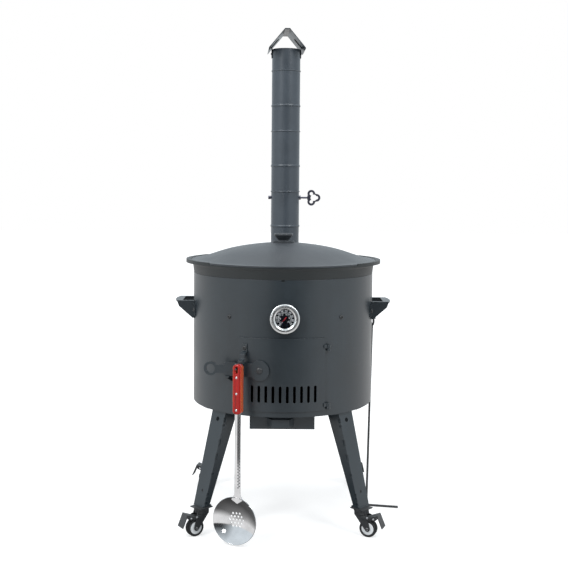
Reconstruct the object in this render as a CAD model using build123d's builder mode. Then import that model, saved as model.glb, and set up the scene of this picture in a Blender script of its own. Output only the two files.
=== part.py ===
from build123d import *
import os
from math import asin, cos, degrees, hypot, radians, sin, sqrt, tan

os.makedirs("parts", exist_ok=True)

# The stove stands on the floor at height zero, its drum round the Z axis and its door towards minus Y.
# Azimuths are degrees from the front, growing towards plus X.

# Clearances that every fit shares
seat_gap = 0.3
slide_gap = 0.5
running_gap = 0.05
hole_gap = 0.2
cut_overrun = 6.0

# Drum
drum_radius = 237.5
drum_wall = 2.5
drum_bottom = 306.0
drum_height = 338.0
floor_thickness = 3.0
notch_width = 8.0
notch_depth = 4.0
grate_slot_length = 84.0
grate_slot_width = 9.0
grate_pitch = 19.0
grate_row_pitch = 96.0
grate_centre = -52.0
grate_columns = 7
drum_inner = drum_radius - drum_wall
drum_top = drum_bottom + drum_height

# Bolts
bolt_radius = 3.0
bolt_head_radius = 5.5
bolt_head_height = 3.6
bolt_nut_height = 4.5
bolt_edge = 1.4
bolt_head_taper = 22

# Brackets that steady the pot inside the drum
bracket_azimuths = (-142.5, -34.1, 37.6, 142.5)
bracket_bolt_drop = 95.4
bracket_height = 44.0
bracket_reach = 46.0
bracket_sheet = 3.0
bracket_half_angle = 4.0
bracket_bolt_height = drum_top - bracket_bolt_drop

# Door
door_first = -27.0
door_last = 26.0
door_rise = 14.0
door_drop = 143.0
door_wall = 2.5
door_gap = 0.5
door_lap = 10.0
vent_width = 7.0
vent_height = 42.0
vent_rise = 43.0
vent_count = 10
vent_step = 4.2
vent_middle_azimuth = 0.8
door_inner = drum_radius + door_gap
door_outer = door_inner + door_wall
door_bottom = drum_bottom + door_rise
door_top = drum_top - door_drop
door_height = door_top - door_bottom
vent_middle = door_bottom + vent_rise

# Door hinge
hinge_azimuth = 28.0
hinge_reach = 6.0
hinge_foot_inset = 14.0
hinge_head_inset = 21.5
knuckle_height = 9.0
knuckle_radius = 4.6
hinge_pin_radius = 2.5
hinge_leaf = 13.0
hinge_leaf_sheet = 2.5
lug_height = 6.0
hinge_radius = drum_radius + hinge_reach
hinge_heights = (door_bottom + hinge_foot_inset, door_top - hinge_head_inset)

# Latch lever
latch_azimuth = -13.45
latch_drop = 79.4
latch_standoff = 1.5
latch_sheet = 3.0
latch_plate_height = 33.0
latch_plate_length = 88.0
latch_head_radius = 25.0
latch_bar_height = 21.0
latch_length = 124.6
latch_ring_radius = 17.5
latch_hole_radius = 11.0
pivot_radius = 4.0
pivot_head_radius = 8.0
pivot_head_height = 3.5
catch_azimuth = -31.5
catch_width = 12.0
catch_reach = 25.0
catch_sheet = 3.0
catch_gusset = 16.0
latch_reach = door_outer + latch_standoff
latch_height = door_top - latch_drop

# Hook on the door that carries the skimmer
hook_azimuth = -22.6
hook_inset = 15.0
hook_bolt_drop = 10.0
hook_step_drops = (18.0, 25.0, 35.0, 40.0)
hook_offsets = (14.0, 25.4)
hook_tip_drop = 58.4
hook_width = 13.0
hook_sheet = 2.5
tongue_width = 5.0
tongue_height = 3.0
tongue_drop = 53.4
tongue_reach = 27.0
hook_top = door_top - hook_inset
hook_bolt_height = hook_top - hook_bolt_drop
tongue_level = hook_top - tongue_drop

# Skimmer
skimmer_reach = 38.7
skimmer_rise = 9.0
skimmer_foot_reach = 62.5
skimmer_foot_shift = 10.25
skimmer_foot_height = 4.2
grip_length = 121.0
grip_width = 21.0
grip_thickness = 20.0
blade_sheet = 2.0
shaft_width = 15.5
slot_length = 16.0
slot_drop = 14.0
rivet_radius = 3.0
rivet_proud = 0.4
rivet_drops = (32.0, 71.0, 110.5)
bowl_width = 115.0
bowl_height = 115.5
bowl_shift = -7.4
bowl_depth = 14.0
bowl_sheet = 1.5
bowl_hole_radius = 2.5
bowl_hole_pitch = 9.0
bowl_hole_rows = 5

# Pot with its ears
pot_depth = 194.0
pot_wall = 4.5
pot_belly_gap = 7.0
pot_belly_rise = 150.0
pot_neck_inset = 0.2
pot_collar_reach = 2.5
pot_collar_height = 21.0
pot_rim_reach = 5.5
pot_rim_rise = 35.0
pot_rim_height = 9.0
pot_ledge_depth = 5.5
pot_ledge_width = 11.0
ear_inset = 25.3
ear_offset = 45.8
pot_bottom = drum_top - pot_depth
pot_belly_radius = drum_inner - pot_belly_gap
pot_radius = (pot_belly_radius ** 2 + pot_belly_rise ** 2) / (2 * pot_belly_rise)
pot_collar_radius = drum_radius + pot_collar_reach
pot_rim_radius = drum_radius + pot_rim_reach
pot_rim_top = drum_top + pot_rim_rise
pot_rim_bottom = pot_rim_top - pot_rim_height

# Lid and knob
lid_reach = 6.8
lid_wall = 4.0
lid_height = 43.0
lid_rise_shares = ((0.389, 0.830), (0.634, 0.548), (0.806, 0.242), (0.909, 0.072))
knob_boss_radius = 29.0
knob_boss_height = 4.0
knob_stem_radius = 15.0
knob_stem_height = 2.5
knob_radius = 25.2
knob_cone_height = 12.5
knob_rim_height = 5.0
knob_edge = 2.2
knob_stud_radius = 5.0
knob_stud_length = 12.0
lid_radius = drum_radius + lid_reach
lid_top = pot_rim_top + lid_height

# Thermometer
gauge_azimuth = 1.1
gauge_drop = 93.2
gauge_case_radius = 33.6
gauge_bezel_radius = 36.4
gauge_window_radius = 23.5
gauge_depth = 14.0
gauge_bezel_depth = 3.0
gauge_bezel_taper = 20
gauge_wall = 2.0
gauge_dial_sheet = 1.0
gauge_dial_level = 6.0
gauge_glass_sheet = 1.8
gauge_glass_radius = 30.0
gauge_pointer_length = 19.0
gauge_pointer_tail = 6.0
gauge_pointer_width = 2.6
gauge_pointer_sheet = 0.8
gauge_pointer_turn = -129.0
gauge_spindle_radius = 1.2
probe_radius = 3.0
probe_length = 28.0
probe_thread_radius = 6.0
probe_thread_length = 11.0
probe_nut_width = 19.0
probe_nut_height = 5.0
gauge_height = drum_top - gauge_drop

# Flue outlet and chimney
flue_offset = 4.0
flue_drop = 84.0
flue_reach = 59.5
flue_radius = 41.5
flue_wall = 1.2
flue_bend = 55.0
flue_collar = 10.0
flue_collar_depth = 4.0
flue_rise = 25.0
spigot_length = 25.0
outlet_spigot_length = 50.0
section_lengths = (110.0, 177.0, 176.0, 167.0)
bead_height = 104.0
bead_radius = 1.9
pipe_inner = flue_radius - flue_wall
spigot_radius = pipe_inner - seat_gap
spigot_inner = spigot_radius - flue_wall
flue_height = drum_top - flue_drop
flue_distance = drum_radius + flue_reach
flue_step = flue_height + flue_bend + flue_rise
section_ends = [flue_step + sum(section_lengths[:count]) for count in range(len(section_lengths) + 1)]

# Damper
damper_rise = 86.0
damper_rod_radius = 2.75
damper_nub_radius = 5.0
damper_nub_proud = 8.5
damper_collar_radius = 6.5
damper_collar_length = 4.0
damper_key_proud = 24.1
damper_disc_gap = 2.3
damper_disc_sheet = 1.5
key_lobe_radius = 11.5
key_hole_radius = 5.0
key_lobe_near = 12.0
key_lobe_far = 27.4
key_lobe_spread = 11.8
key_middle = 19.0
key_middle_radius = 9.2
key_body_radius = 13.5
key_stem_height = 13.0
key_sheet = 3.0
damper_height = section_ends[1] + damper_rise
damper_nub_reach = flue_radius + damper_nub_proud
damper_key_start = flue_radius + damper_key_proud
damper_disc_radius = pipe_inner - damper_disc_gap

# Rain cap
cap_rise = 52.2
cap_ridge = 14.0
cap_width = 106.0
cap_slope = 50.0
cap_depth = 146.0
cap_sheet = 2.0
cap_yaw = 2.6
strap_width = 20.0
strap_sheet = 2.0
strap_lap = 25.0
strap_inner = 23.0
cap_top = section_ends[-1] + cap_rise
strap_bottom = section_ends[-1] - strap_lap

# Side handles
handle_drop = 73.5
handle_half_width = 52.0
handle_reach = 48.0
handle_bow = 7.0
handle_band = 21.5
handle_sheet = 2.5
handle_lip = 15.0
handle_lip_in = 5.5
handle_height = 46.0
handle_flange = 20.0
handle_flange_height = 30.0
handle_bolt_drop = 23.0
handle_finger_margin = 8.0
handle_top = drum_top - handle_drop
handle_foot = handle_top - handle_height
handle_bolt_height = handle_top - handle_bolt_drop

# Ash drawer and its rails
tray_width = 150.0
tray_length = 290.0
tray_inset = 37.5
tray_plate_width = 162.0
tray_drop = 38.0
tray_sheet = 1.5
tray_plate_sheet = 2.0
rail_sheet = 2.0
rail_lip = 12.5
tray_head_gap = 3.0
pull_offset = -4.0
pull_width = 82.0
pull_face = 40.0
pull_base = 67.0
pull_height = 20.0
pull_standoff = 24.0
pull_sheet = 2.0
tray_front = drum_radius - tray_inset
tray_bottom = drum_bottom - tray_drop

# Legs
leg_azimuth = 45.0
leg_sheet = 3.0
leg_inset = 11.0
leg_splay = 49.5
leg_top_front = 27.3
leg_foot_front = 15.0
leg_top_back = -23.0
leg_foot_back = -25.0
leg_web_top = 40.0
leg_web_foot = 17.0
leg_head_tab = 40.0
leg_foot_tab = 24.0
leg_tab_inset = 4.0
leg_slits = ((15, 27), (32, 38), (70, 86), (107, 122), (155, 162), (205, 213), (216, 225), (229, 235))
leg_slit_width = 2.6
leg_hole_radius = 5.5
leg_hole_drop = 22.0
leg_low_hole_radius = 3.6
leg_low_hole_drop = 203.0
leg_bolt_spread = 13.0
leg_bolt_inset = 24.0
leg_top_reach = drum_radius - leg_inset
leg_foot_reach = drum_radius + leg_splay

# Casters, with the way each wheel trails from its swivel
caster_inset = 4.0
caster_plate_side = 40.0
caster_plate_sheet = 2.5
caster_plate_top = 72.0
race_radius = 19.0
race_height = 5.0
king_radius = 4.0
crown_radius = 17.0
crown_height = 7.0
crown_width = 30.0
fork_inner = 10.0
fork_sheet = 2.0
fork_end_radius = 6.5
wheel_radius = 22.0
wheel_half_width = 9.0
wheel_edge = 2.5
wheel_trail = 19.0
axle_radius = 3.0
axle_head_radius = 4.25
axle_head_height = 1.6
pedal_pin_radius = 2.0
pedal_pin_out = 8.0
pedal_pin_height = 51.0
pedal_barrel_radius = 4.0
pedal_arm_half = 8.0
pedal_half_width = 14.0
pedal_sheet = 2.0
pedal_elbow = (24.0, 50.5)
pedal_crest = (45.0, 58.5)
pedal_toe = (58.0, 28.0)
caster_reach = leg_foot_reach - caster_inset
caster_headings = {
    "front_left": (-leg_azimuth, -58.0),
    "front_right": (leg_azimuth, 68.3),
    "rear_left": (leg_azimuth - 180.0, -100.0),
    "rear_right": (180.0 - leg_azimuth, 146.0),
}

# Poker and its peg
poker_radius = 3.0
poker_ring_radius = 12.0
poker_ring_reach = 7.5
poker_ring_side = 62.0
poker_ring_drop = 139.0
poker_heel_inset = 5.5
poker_heel_side = 22.0
poker_toe_reach = 79.0
poker_toe_side = 6.0
peg_radius = 2.5
peg_length = 26.0


def facing(azimuth, reach, height):
    """Upright plane that looks outwards, its x running round the drum and its y running up."""
    turn = radians(azimuth)
    return Plane(
        origin=(reach * sin(turn), -reach * cos(turn), height),
        x_dir=(cos(turn), sin(turn), 0),
        z_dir=(sin(turn), -cos(turn), 0),
    )


def standing(azimuth, origin=(0, 0, 0)):
    """Upright plane whose x runs outwards at an azimuth and whose y runs up."""
    turn = radians(azimuth)
    return Plane(origin=origin, x_dir=(sin(turn), -cos(turn), 0), z_dir=(-cos(turn), -sin(turn), 0))


def lying(azimuth, height):
    """Level plane whose x runs outwards at an azimuth."""
    turn = radians(azimuth)
    return Plane(origin=(0, 0, height), x_dir=(sin(turn), -cos(turn), 0), z_dir=(0, 0, 1))


def draw_outline(plane, *points):
    """Closed face through points."""
    with BuildSketch(plane, mode=Mode.PRIVATE) as outline:
        with BuildLine():
            Polyline(*points, close=True)
        make_face()
    return outline.sketch


def draw_sector(height, inner, outer, first, last):
    """Level face between two radii and two azimuths."""
    with BuildSketch(Plane.XY.offset(height), mode=Mode.PRIVATE) as sector:
        with BuildLine():
            near = CenterArc((0, 0), inner, first - 90, last - first)
            far = CenterArc((0, 0), outer, first - 90, last - first)
            Line(near @ 0, far @ 0)
            Line(near @ 1, far @ 1)
        make_face()
    return sector.sketch


def draw_disc(plane, radius, bore=0):
    """Round face, or a ring when it has a bore."""
    with BuildSketch(plane, mode=Mode.PRIVATE) as disc:
        Circle(radius)
        if bore:
            Circle(bore, mode=Mode.SUBTRACT)
    return disc.sketch


def trim_to_radius(radius):
    """Cut a piece back so that it seats on a round wall of that radius."""
    extrude(draw_disc(Plane.XY, radius), amount=cap_top, mode=Mode.SUBTRACT)


def save(piece, name):
    """Label a finished piece and write it."""
    piece.part.label = name
    export_step(piece.part, f"parts/{name}.step")


# Drum shell with its openings
with BuildPart() as drum_shell:
    extrude(draw_disc(Plane.XY.offset(drum_bottom), drum_radius, drum_inner), amount=drum_height)
    lap_angle = degrees(door_lap / drum_radius)
    extrude(
        draw_sector(
            door_bottom + door_lap,
            drum_inner - cut_overrun,
            drum_radius + cut_overrun,
            door_first + lap_angle,
            door_last - lap_angle,
        ),
        amount=door_height - 2 * door_lap,
        mode=Mode.SUBTRACT,
    )
    with BuildSketch(facing(180, drum_radius, flue_height)):
        with Locations((-flue_offset, 0)):
            Circle(flue_radius)
    extrude(amount=2 * cut_overrun, both=True, mode=Mode.SUBTRACT)
    extrude(
        draw_disc(facing(gauge_azimuth, drum_radius, gauge_height), probe_thread_radius + hole_gap),
        amount=cut_overrun,
        both=True,
        mode=Mode.SUBTRACT,
    )
    with BuildSketch(facing(0, drum_radius, drum_top)):
        Rectangle(notch_width, 2 * notch_depth)
    extrude(amount=cut_overrun, both=True, mode=Mode.SUBTRACT)
    for azimuth in bracket_azimuths:
        extrude(
            draw_disc(facing(azimuth, drum_radius, bracket_bolt_height), bolt_radius + hole_gap),
            amount=cut_overrun,
            both=True,
            mode=Mode.SUBTRACT,
        )
    flange_start = degrees(asin(handle_half_width / drum_radius))
    flange_end = degrees(asin((handle_half_width + handle_flange) / drum_radius))
    handle_bolt_azimuth = 90 - (flange_start + flange_end) / 2
    handle_bolt_azimuths = [
        side * azimuth
        for side in (-1, 1)
        for azimuth in (handle_bolt_azimuth, 180 - handle_bolt_azimuth)
    ]
    for azimuth in handle_bolt_azimuths:
        extrude(
            draw_disc(facing(azimuth, drum_radius, handle_bolt_height), bolt_radius + hole_gap),
            amount=cut_overrun,
            both=True,
            mode=Mode.SUBTRACT,
        )
save(drum_shell, "drum_shell")

# Drum floor, slotted over the ash drawer
leg_bolt_places = [
    (leg_top_reach - leg_bolt_inset, (leg_top_front + leg_top_back) / 2 + side * leg_bolt_spread)
    for side in (-1, 1)
]
leg_places = (
    (-leg_azimuth, 1),
    (leg_azimuth, -1),
    (leg_azimuth - 180, -1),
    (180 - leg_azimuth, 1),
)
with BuildPart() as drum_floor:
    with BuildSketch(Plane.XY.offset(drum_bottom)):
        Circle(drum_inner)
        with Locations((0, grate_centre)):
            with GridLocations(grate_pitch, grate_row_pitch, grate_columns, 2):
                SlotOverall(grate_slot_length, grate_slot_width, rotation=90, mode=Mode.SUBTRACT)
    extrude(amount=floor_thickness)
    for azimuth, side in leg_places:
        with BuildSketch(lying(azimuth, drum_bottom)):
            with Locations(*[(reach, side * across) for reach, across in leg_bolt_places]):
                Circle(bolt_radius + hole_gap)
    extrude(amount=2 * floor_thickness, both=True, mode=Mode.SUBTRACT)
save(drum_floor, "drum_floor")

# Brackets inside the drum, curved under the pot
pot_centre = pot_bottom + pot_radius
with BuildPart() as pot_brackets:
    bracket_bottom = bracket_bolt_height - bracket_height / 2
    for azimuth in bracket_azimuths:
        extrude(
            draw_outline(
                standing(azimuth).offset(-bracket_sheet / 2),
                (drum_inner - bracket_sheet, bracket_bottom),
                (drum_inner - bracket_reach, bracket_bottom + bracket_height / 2),
                (drum_inner - bracket_reach, bracket_bottom + bracket_height),
                (drum_inner - bracket_sheet, bracket_bottom + bracket_height),
            ),
            amount=bracket_sheet,
        )
    with Locations((0, 0, pot_centre)):
        Sphere(pot_radius + seat_gap, mode=Mode.SUBTRACT)
    for azimuth in bracket_azimuths:
        extrude(
            draw_sector(
                bracket_bottom,
                drum_inner - bracket_sheet,
                drum_inner,
                azimuth - bracket_half_angle,
                azimuth + bracket_half_angle,
            ),
            amount=bracket_height,
        )
    for azimuth in bracket_azimuths:
        extrude(
            draw_disc(facing(azimuth, drum_radius, bracket_bolt_height), bolt_radius + hole_gap),
            amount=-(drum_wall + bracket_sheet + bolt_nut_height + seat_gap),
            mode=Mode.SUBTRACT,
        )
save(pot_brackets, "pot_brackets")


def make_bolts(places, wall, head_radius=bolt_head_radius):
    """Round headed bolts that face outwards at azimuths and heights, each through a wall."""
    for azimuth, reach, height in places:
        extrude(draw_disc(facing(azimuth, reach, height), bolt_radius), amount=-(wall + seat_gap))
    for azimuth, reach, height in places:
        extrude(
            draw_disc(facing(azimuth, reach, height), head_radius),
            amount=bolt_head_height,
            taper=bolt_head_taper,
        )


with BuildPart() as bracket_bolts:
    make_bolts(
        [(azimuth, drum_radius, bracket_bolt_height) for azimuth in bracket_azimuths],
        drum_wall + bracket_sheet,
    )
save(bracket_bolts, "bracket_bolts")

# Side handles, folded from sheet, and their bolts
with BuildPart() as handle_right:
    outer_edge = drum_radius + handle_reach
    corner_edge = outer_edge - handle_bow
    with BuildSketch(Plane.XY.offset(handle_top)):
        with BuildLine():
            Polyline(
                (corner_edge, -handle_half_width),
                (0, -handle_half_width),
                (0, handle_half_width),
                (corner_edge, handle_half_width),
            )
            ThreePointArc((corner_edge, handle_half_width), (outer_edge, 0), (corner_edge, -handle_half_width))
        make_face()
        with Locations(((drum_radius + outer_edge - handle_band) / 2 - cut_overrun, 0)):
            Rectangle(
                handle_reach - handle_band + 2 * cut_overrun,
                2 * (handle_half_width - handle_finger_margin),
                mode=Mode.SUBTRACT,
            )
    extrude(amount=-handle_sheet)
    for side in (-1, 1):
        extrude(
            draw_outline(
                Plane.XZ.offset(-side * handle_half_width),
                (0, handle_top),
                (corner_edge, handle_top),
                (corner_edge - handle_lip_in, handle_top - handle_lip),
                (drum_radius, handle_foot),
                (0, handle_foot),
            ),
            amount=side * handle_sheet,
        )
    trim_to_radius(drum_radius)
    split(bisect_by=Plane.YZ.offset(drum_radius / 2), keep=Keep.TOP)
    flange_root = degrees(asin((handle_half_width - handle_sheet) / drum_radius))
    for first, last in ((90 - flange_end, 90 - flange_root), (90 + flange_root, 90 + flange_end)):
        extrude(
            draw_sector(
                handle_bolt_height - handle_flange_height / 2,
                drum_radius,
                drum_radius + handle_sheet,
                first,
                last,
            ),
            amount=handle_flange_height,
        )
    for azimuth in (handle_bolt_azimuth, 180 - handle_bolt_azimuth):
        extrude(
            draw_disc(facing(azimuth, drum_radius, handle_bolt_height), bolt_radius + hole_gap),
            amount=cut_overrun,
            both=True,
            mode=Mode.SUBTRACT,
        )
save(handle_right, "handle_right")

with BuildPart() as handle_left:
    mirror(handle_right.part, about=Plane.YZ)
save(handle_left, "handle_left")

with BuildPart() as handle_bolts:
    make_bolts(
        [(azimuth, drum_radius + handle_sheet, handle_bolt_height) for azimuth in handle_bolt_azimuths],
        drum_wall + handle_sheet,
    )
save(handle_bolts, "handle_bolts")

# Door panel with its row of upright vents
with BuildPart() as door_panel:
    extrude(draw_sector(door_bottom, door_inner, door_outer, door_first, door_last), amount=door_height)
    for number in range(vent_count):
        azimuth = vent_middle_azimuth + (number - (vent_count - 1) / 2) * vent_step
        with BuildSketch(facing(azimuth, door_inner, vent_middle)):
            SlotOverall(vent_height, vent_width, rotation=90)
    extrude(amount=2 * door_wall, both=True, mode=Mode.SUBTRACT)
save(door_panel, "door_panel")


def hinge_plane(height):
    """Level plane on the hinge axis, its x running round the drum and its y inwards."""
    spot = facing(hinge_azimuth, hinge_radius, height)
    return Plane(origin=spot.origin, x_dir=spot.x_dir, z_dir=(0, 0, 1))


with BuildPart() as door_knuckles:
    for height in hinge_heights:
        with BuildSketch(hinge_plane(height - knuckle_height / 2)):
            Circle(knuckle_radius)
            with Locations((-hinge_leaf / 2, hinge_reach - door_gap - (door_wall + hinge_leaf_sheet) / 2)):
                Rectangle(hinge_leaf, door_wall + hinge_leaf_sheet)
    extrude(amount=knuckle_height)
    trim_to_radius(door_outer)
    for height in hinge_heights:
        extrude(
            draw_disc(hinge_plane(height - knuckle_height), hinge_pin_radius + running_gap),
            amount=2 * knuckle_height,
            mode=Mode.SUBTRACT,
        )
save(door_knuckles, "door_knuckles")

with BuildPart() as hinge_lugs:
    for height in hinge_heights:
        with BuildSketch(hinge_plane(height - knuckle_height / 2 - seat_gap)):
            Circle(knuckle_radius)
            with Locations((0, hinge_reach / 2)):
                Rectangle(2 * knuckle_radius, hinge_reach + drum_wall / 2)
    extrude(amount=-lug_height)
    trim_to_radius(drum_radius)
    for height in hinge_heights:
        extrude(
            draw_disc(hinge_plane(height - knuckle_height / 2 - seat_gap), hinge_pin_radius),
            amount=knuckle_height + 2 * seat_gap,
        )
save(hinge_lugs, "hinge_lugs")

# Latch lever on the door, its pivot and the ledge it rests on
latch_plane = facing(latch_azimuth, latch_reach, latch_height)
with BuildPart() as latch_lever:
    with BuildSketch(latch_plane):
        with Locations((-latch_plate_length / 2, 0)):
            Rectangle(latch_plate_length, latch_plate_height)
        Circle(latch_head_radius)
        with Locations((-(latch_plate_length + latch_length) / 2, 0)):
            Rectangle(latch_length - latch_plate_length, latch_bar_height)
        with Locations((-latch_length, 0)):
            Circle(latch_ring_radius)
            Circle(latch_hole_radius, mode=Mode.SUBTRACT)
        Circle(pivot_radius + running_gap, mode=Mode.SUBTRACT)
    extrude(amount=latch_sheet)
save(latch_lever, "latch_lever")

with BuildPart() as latch_pivot:
    extrude(draw_disc(latch_plane.offset(-seat_gap), pivot_head_radius), amount=-latch_standoff)
    trim_to_radius(door_outer)
    extrude(draw_disc(latch_plane.offset(-seat_gap), pivot_radius), amount=latch_sheet + 2 * seat_gap)
    extrude(
        draw_disc(latch_plane.offset(latch_sheet + seat_gap), pivot_head_radius),
        amount=pivot_head_height,
    )
    outermost = faces().sort_by(Axis((0, 0, 0), latch_plane.z_dir))[-1]
    fillet(outermost.edges(), radius=bolt_edge)
save(latch_pivot, "latch_pivot")

with BuildPart() as latch_catch:
    ledge_top = latch_height - latch_plate_height / 2 - seat_gap
    extrude(
        draw_outline(
            standing(catch_azimuth),
            (drum_inner, ledge_top),
            (drum_radius + catch_reach, ledge_top),
            (drum_radius + catch_reach, ledge_top - catch_sheet),
            (drum_radius + catch_sheet, ledge_top - catch_gusset),
            (drum_inner, ledge_top - catch_gusset),
        ),
        amount=catch_sheet / 2,
        both=True,
    )
    extrude(
        draw_outline(
            standing(catch_azimuth),
            (drum_inner, ledge_top),
            (drum_radius + catch_reach, ledge_top),
            (drum_radius + catch_reach, ledge_top - catch_sheet),
            (drum_inner, ledge_top - catch_sheet),
        ),
        amount=catch_width / 2,
        both=True,
    )
    trim_to_radius(drum_radius)
save(latch_catch, "latch_catch")

# Hook on the door, stepped out twice, with a tongue for the skimmer
with BuildPart() as skimmer_hook:
    half_sheet = hook_sheet / 2
    start = door_outer + half_sheet
    with BuildSketch(standing(hook_azimuth)):
        with BuildLine():
            Polyline(
                (start, hook_top),
                (start, hook_top - hook_step_drops[0]),
                (start + hook_offsets[0], hook_top - hook_step_drops[1]),
                (start + hook_offsets[0], hook_top - hook_step_drops[2]),
                (start + hook_offsets[1], hook_top - hook_step_drops[3]),
                (start + hook_offsets[1], hook_top - hook_tip_drop),
            )
        trace(line_width=hook_sheet)
    extrude(amount=hook_width / 2, both=True)
    extrude(
        draw_outline(
            standing(hook_azimuth),
            (start + hook_offsets[1], tongue_level),
            (start + hook_offsets[1] + tongue_reach, tongue_level),
            (start + hook_offsets[1] + tongue_reach, tongue_level - tongue_height),
            (start + hook_offsets[1], tongue_level - tongue_height),
        ),
        amount=tongue_width / 2,
        both=True,
    )
    trim_to_radius(door_outer)
    extrude(
        draw_disc(facing(hook_azimuth, door_outer, hook_bolt_height), bolt_radius + hole_gap),
        amount=2 * hook_sheet,
        mode=Mode.SUBTRACT,
    )
save(skimmer_hook, "skimmer_hook")

with BuildPart() as hook_bolt:
    hook_face = facing(hook_azimuth, door_outer + hook_sheet, hook_bolt_height)
    extrude(draw_disc(hook_face, bolt_radius), amount=-hook_sheet)
    extrude(draw_disc(hook_face, bolt_head_radius), amount=bolt_head_height)
save(hook_bolt, "hook_bolt")

# Skimmer that hangs on the tongue
skimmer_top = facing(hook_azimuth, door_outer + skimmer_reach, tongue_level + skimmer_rise).origin
foot_plane = facing(hook_azimuth, door_outer + skimmer_foot_reach, skimmer_foot_height)
skimmer_foot = foot_plane.from_local_coords((skimmer_foot_shift, 0, 0))
skimmer_up = (skimmer_top - skimmer_foot).normalized()
skimmer_length = (skimmer_top - skimmer_foot).length
skimmer_out = facing(hook_azimuth, 0, 0).x_dir.cross(skimmer_up).normalized()
skimmer_plane = Plane(origin=skimmer_top, x_dir=skimmer_up.cross(skimmer_out), z_dir=skimmer_out)
slot_width = tongue_width + 2 * slide_gap
bowl_middle = -skimmer_length + bowl_height / 2


def draw_grip(plane):
    """Outline of the wooden grip with its hanging slot."""
    with BuildSketch(plane, mode=Mode.PRIVATE) as grip:
        with Locations((0, -grip_length / 2)):
            RectangleRounded(grip_width, grip_length, grip_width / 3)
        with Locations((0, -slot_drop)):
            SlotOverall(slot_length, slot_width, rotation=90, mode=Mode.SUBTRACT)
        with Locations(*[(0, -drop) for drop in rivet_drops]):
            Circle(rivet_radius, mode=Mode.SUBTRACT)
    return grip.sketch


with BuildPart() as skimmer_grip:
    extrude(draw_grip(skimmer_plane.offset(blade_sheet / 2)), amount=(grip_thickness - blade_sheet) / 2)
    extrude(
        draw_grip(skimmer_plane.offset(-blade_sheet / 2)),
        amount=-(grip_thickness - blade_sheet) / 2,
    )
save(skimmer_grip, "skimmer_grip")

with BuildPart() as skimmer_rivets:
    with BuildSketch(skimmer_plane):
        with Locations(*[(0, -drop) for drop in rivet_drops]):
            Circle(rivet_radius)
    extrude(amount=grip_thickness / 2 + rivet_proud, both=True)
save(skimmer_rivets, "skimmer_rivets")

with BuildPart() as skimmer_blade:
    sphere_radius = ((bowl_width / 2) ** 2 + bowl_depth ** 2) / (2 * bowl_depth)
    sphere_middle = skimmer_plane.from_local_coords((bowl_shift, bowl_middle, sphere_radius - bowl_depth))
    with Locations(sphere_middle):
        Sphere(sphere_radius)
        Sphere(sphere_radius - bowl_sheet, mode=Mode.SUBTRACT)
    with BuildSketch(skimmer_plane.offset(-2 * bowl_depth)):
        with Locations((bowl_shift, bowl_middle)):
            Ellipse(bowl_width / 2, bowl_height / 2)
    extrude(amount=3 * bowl_depth, mode=Mode.INTERSECT)
    with BuildSketch(skimmer_plane.offset(-2 * bowl_depth)):
        reach = bowl_hole_rows // 2
        spots = [
            (
                bowl_shift + (column + row % 2 / 2) * bowl_hole_pitch,
                bowl_middle + row * bowl_hole_pitch * sqrt(3) / 2,
            )
            for row in range(-reach, reach + 1)
            for column in range(-reach, reach + 1)
            if hypot(column + row % 2 / 2, row * sqrt(3) / 2) < reach + 1 / 2
        ]
        with Locations(*spots):
            Circle(bowl_hole_radius)
    extrude(amount=3 * bowl_depth, mode=Mode.SUBTRACT)
    extrude(draw_grip(skimmer_plane.offset(-blade_sheet / 2)), amount=blade_sheet)
    bowl_top = bowl_middle + bowl_height / 2
    extrude(
        draw_outline(
            skimmer_plane.offset(-blade_sheet / 2),
            (-shaft_width / 2, -grip_length + cut_overrun),
            (shaft_width / 2, -grip_length + cut_overrun),
            (shaft_width / 2, bowl_top + shaft_width / 2),
            (shaft_width, bowl_top - cut_overrun),
            (0, bowl_top - shaft_width),
            (-shaft_width, bowl_top - cut_overrun),
            (-shaft_width / 2, bowl_top + shaft_width / 2),
        ),
        amount=blade_sheet,
    )
save(skimmer_blade, "skimmer_blade")

# Pot
with BuildPart() as kazan_bowl:
    belly_height = pot_bottom + pot_belly_rise
    inner_sphere = pot_radius - pot_wall
    inner_belly = sqrt(inner_sphere ** 2 - (pot_centre - belly_height) ** 2)
    shoulder_radius = drum_inner - slide_gap
    shoulder_height = drum_top + seat_gap
    ledge_height = pot_rim_top - pot_ledge_depth
    lip_radius = lid_radius + slide_gap
    with BuildSketch(Plane.XZ):
        with BuildLine():
            bowl_outside = CenterArc(
                (0, pot_centre), pot_radius, -90, degrees(asin(pot_belly_radius / pot_radius))
            )
            bowl_inside = CenterArc(
                (0, pot_centre), inner_sphere, -90, degrees(asin(inner_belly / inner_sphere))
            )
            Polyline(
                bowl_outside @ 1,
                (shoulder_radius, drum_top - cut_overrun),
                (shoulder_radius, shoulder_height),
                (drum_radius - pot_neck_inset, shoulder_height),
                (pot_collar_radius, shoulder_height + pot_collar_height),
                (pot_rim_radius, pot_rim_bottom),
                (pot_rim_radius, ledge_height),
                (lip_radius - pot_ledge_width, ledge_height),
                (shoulder_radius - pot_wall, shoulder_height),
                bowl_inside @ 1,
            )
            Line(bowl_outside @ 0, bowl_inside @ 0)
        make_face()
    revolve(axis=Axis.Z)
    for low, high, inside in (
        (pot_rim_bottom, ledge_height, pot_collar_radius),
        (ledge_height, pot_rim_top, lip_radius),
    ):
        with BuildSketch(Plane.XY.offset(low)):
            for side in (-1, 1):
                with Locations((side * ear_offset, 0)):
                    Circle(drum_radius - ear_inset)
            Circle(inside, mode=Mode.SUBTRACT)
        extrude(amount=high - low)
save(kazan_bowl, "kazan_bowl")

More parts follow.
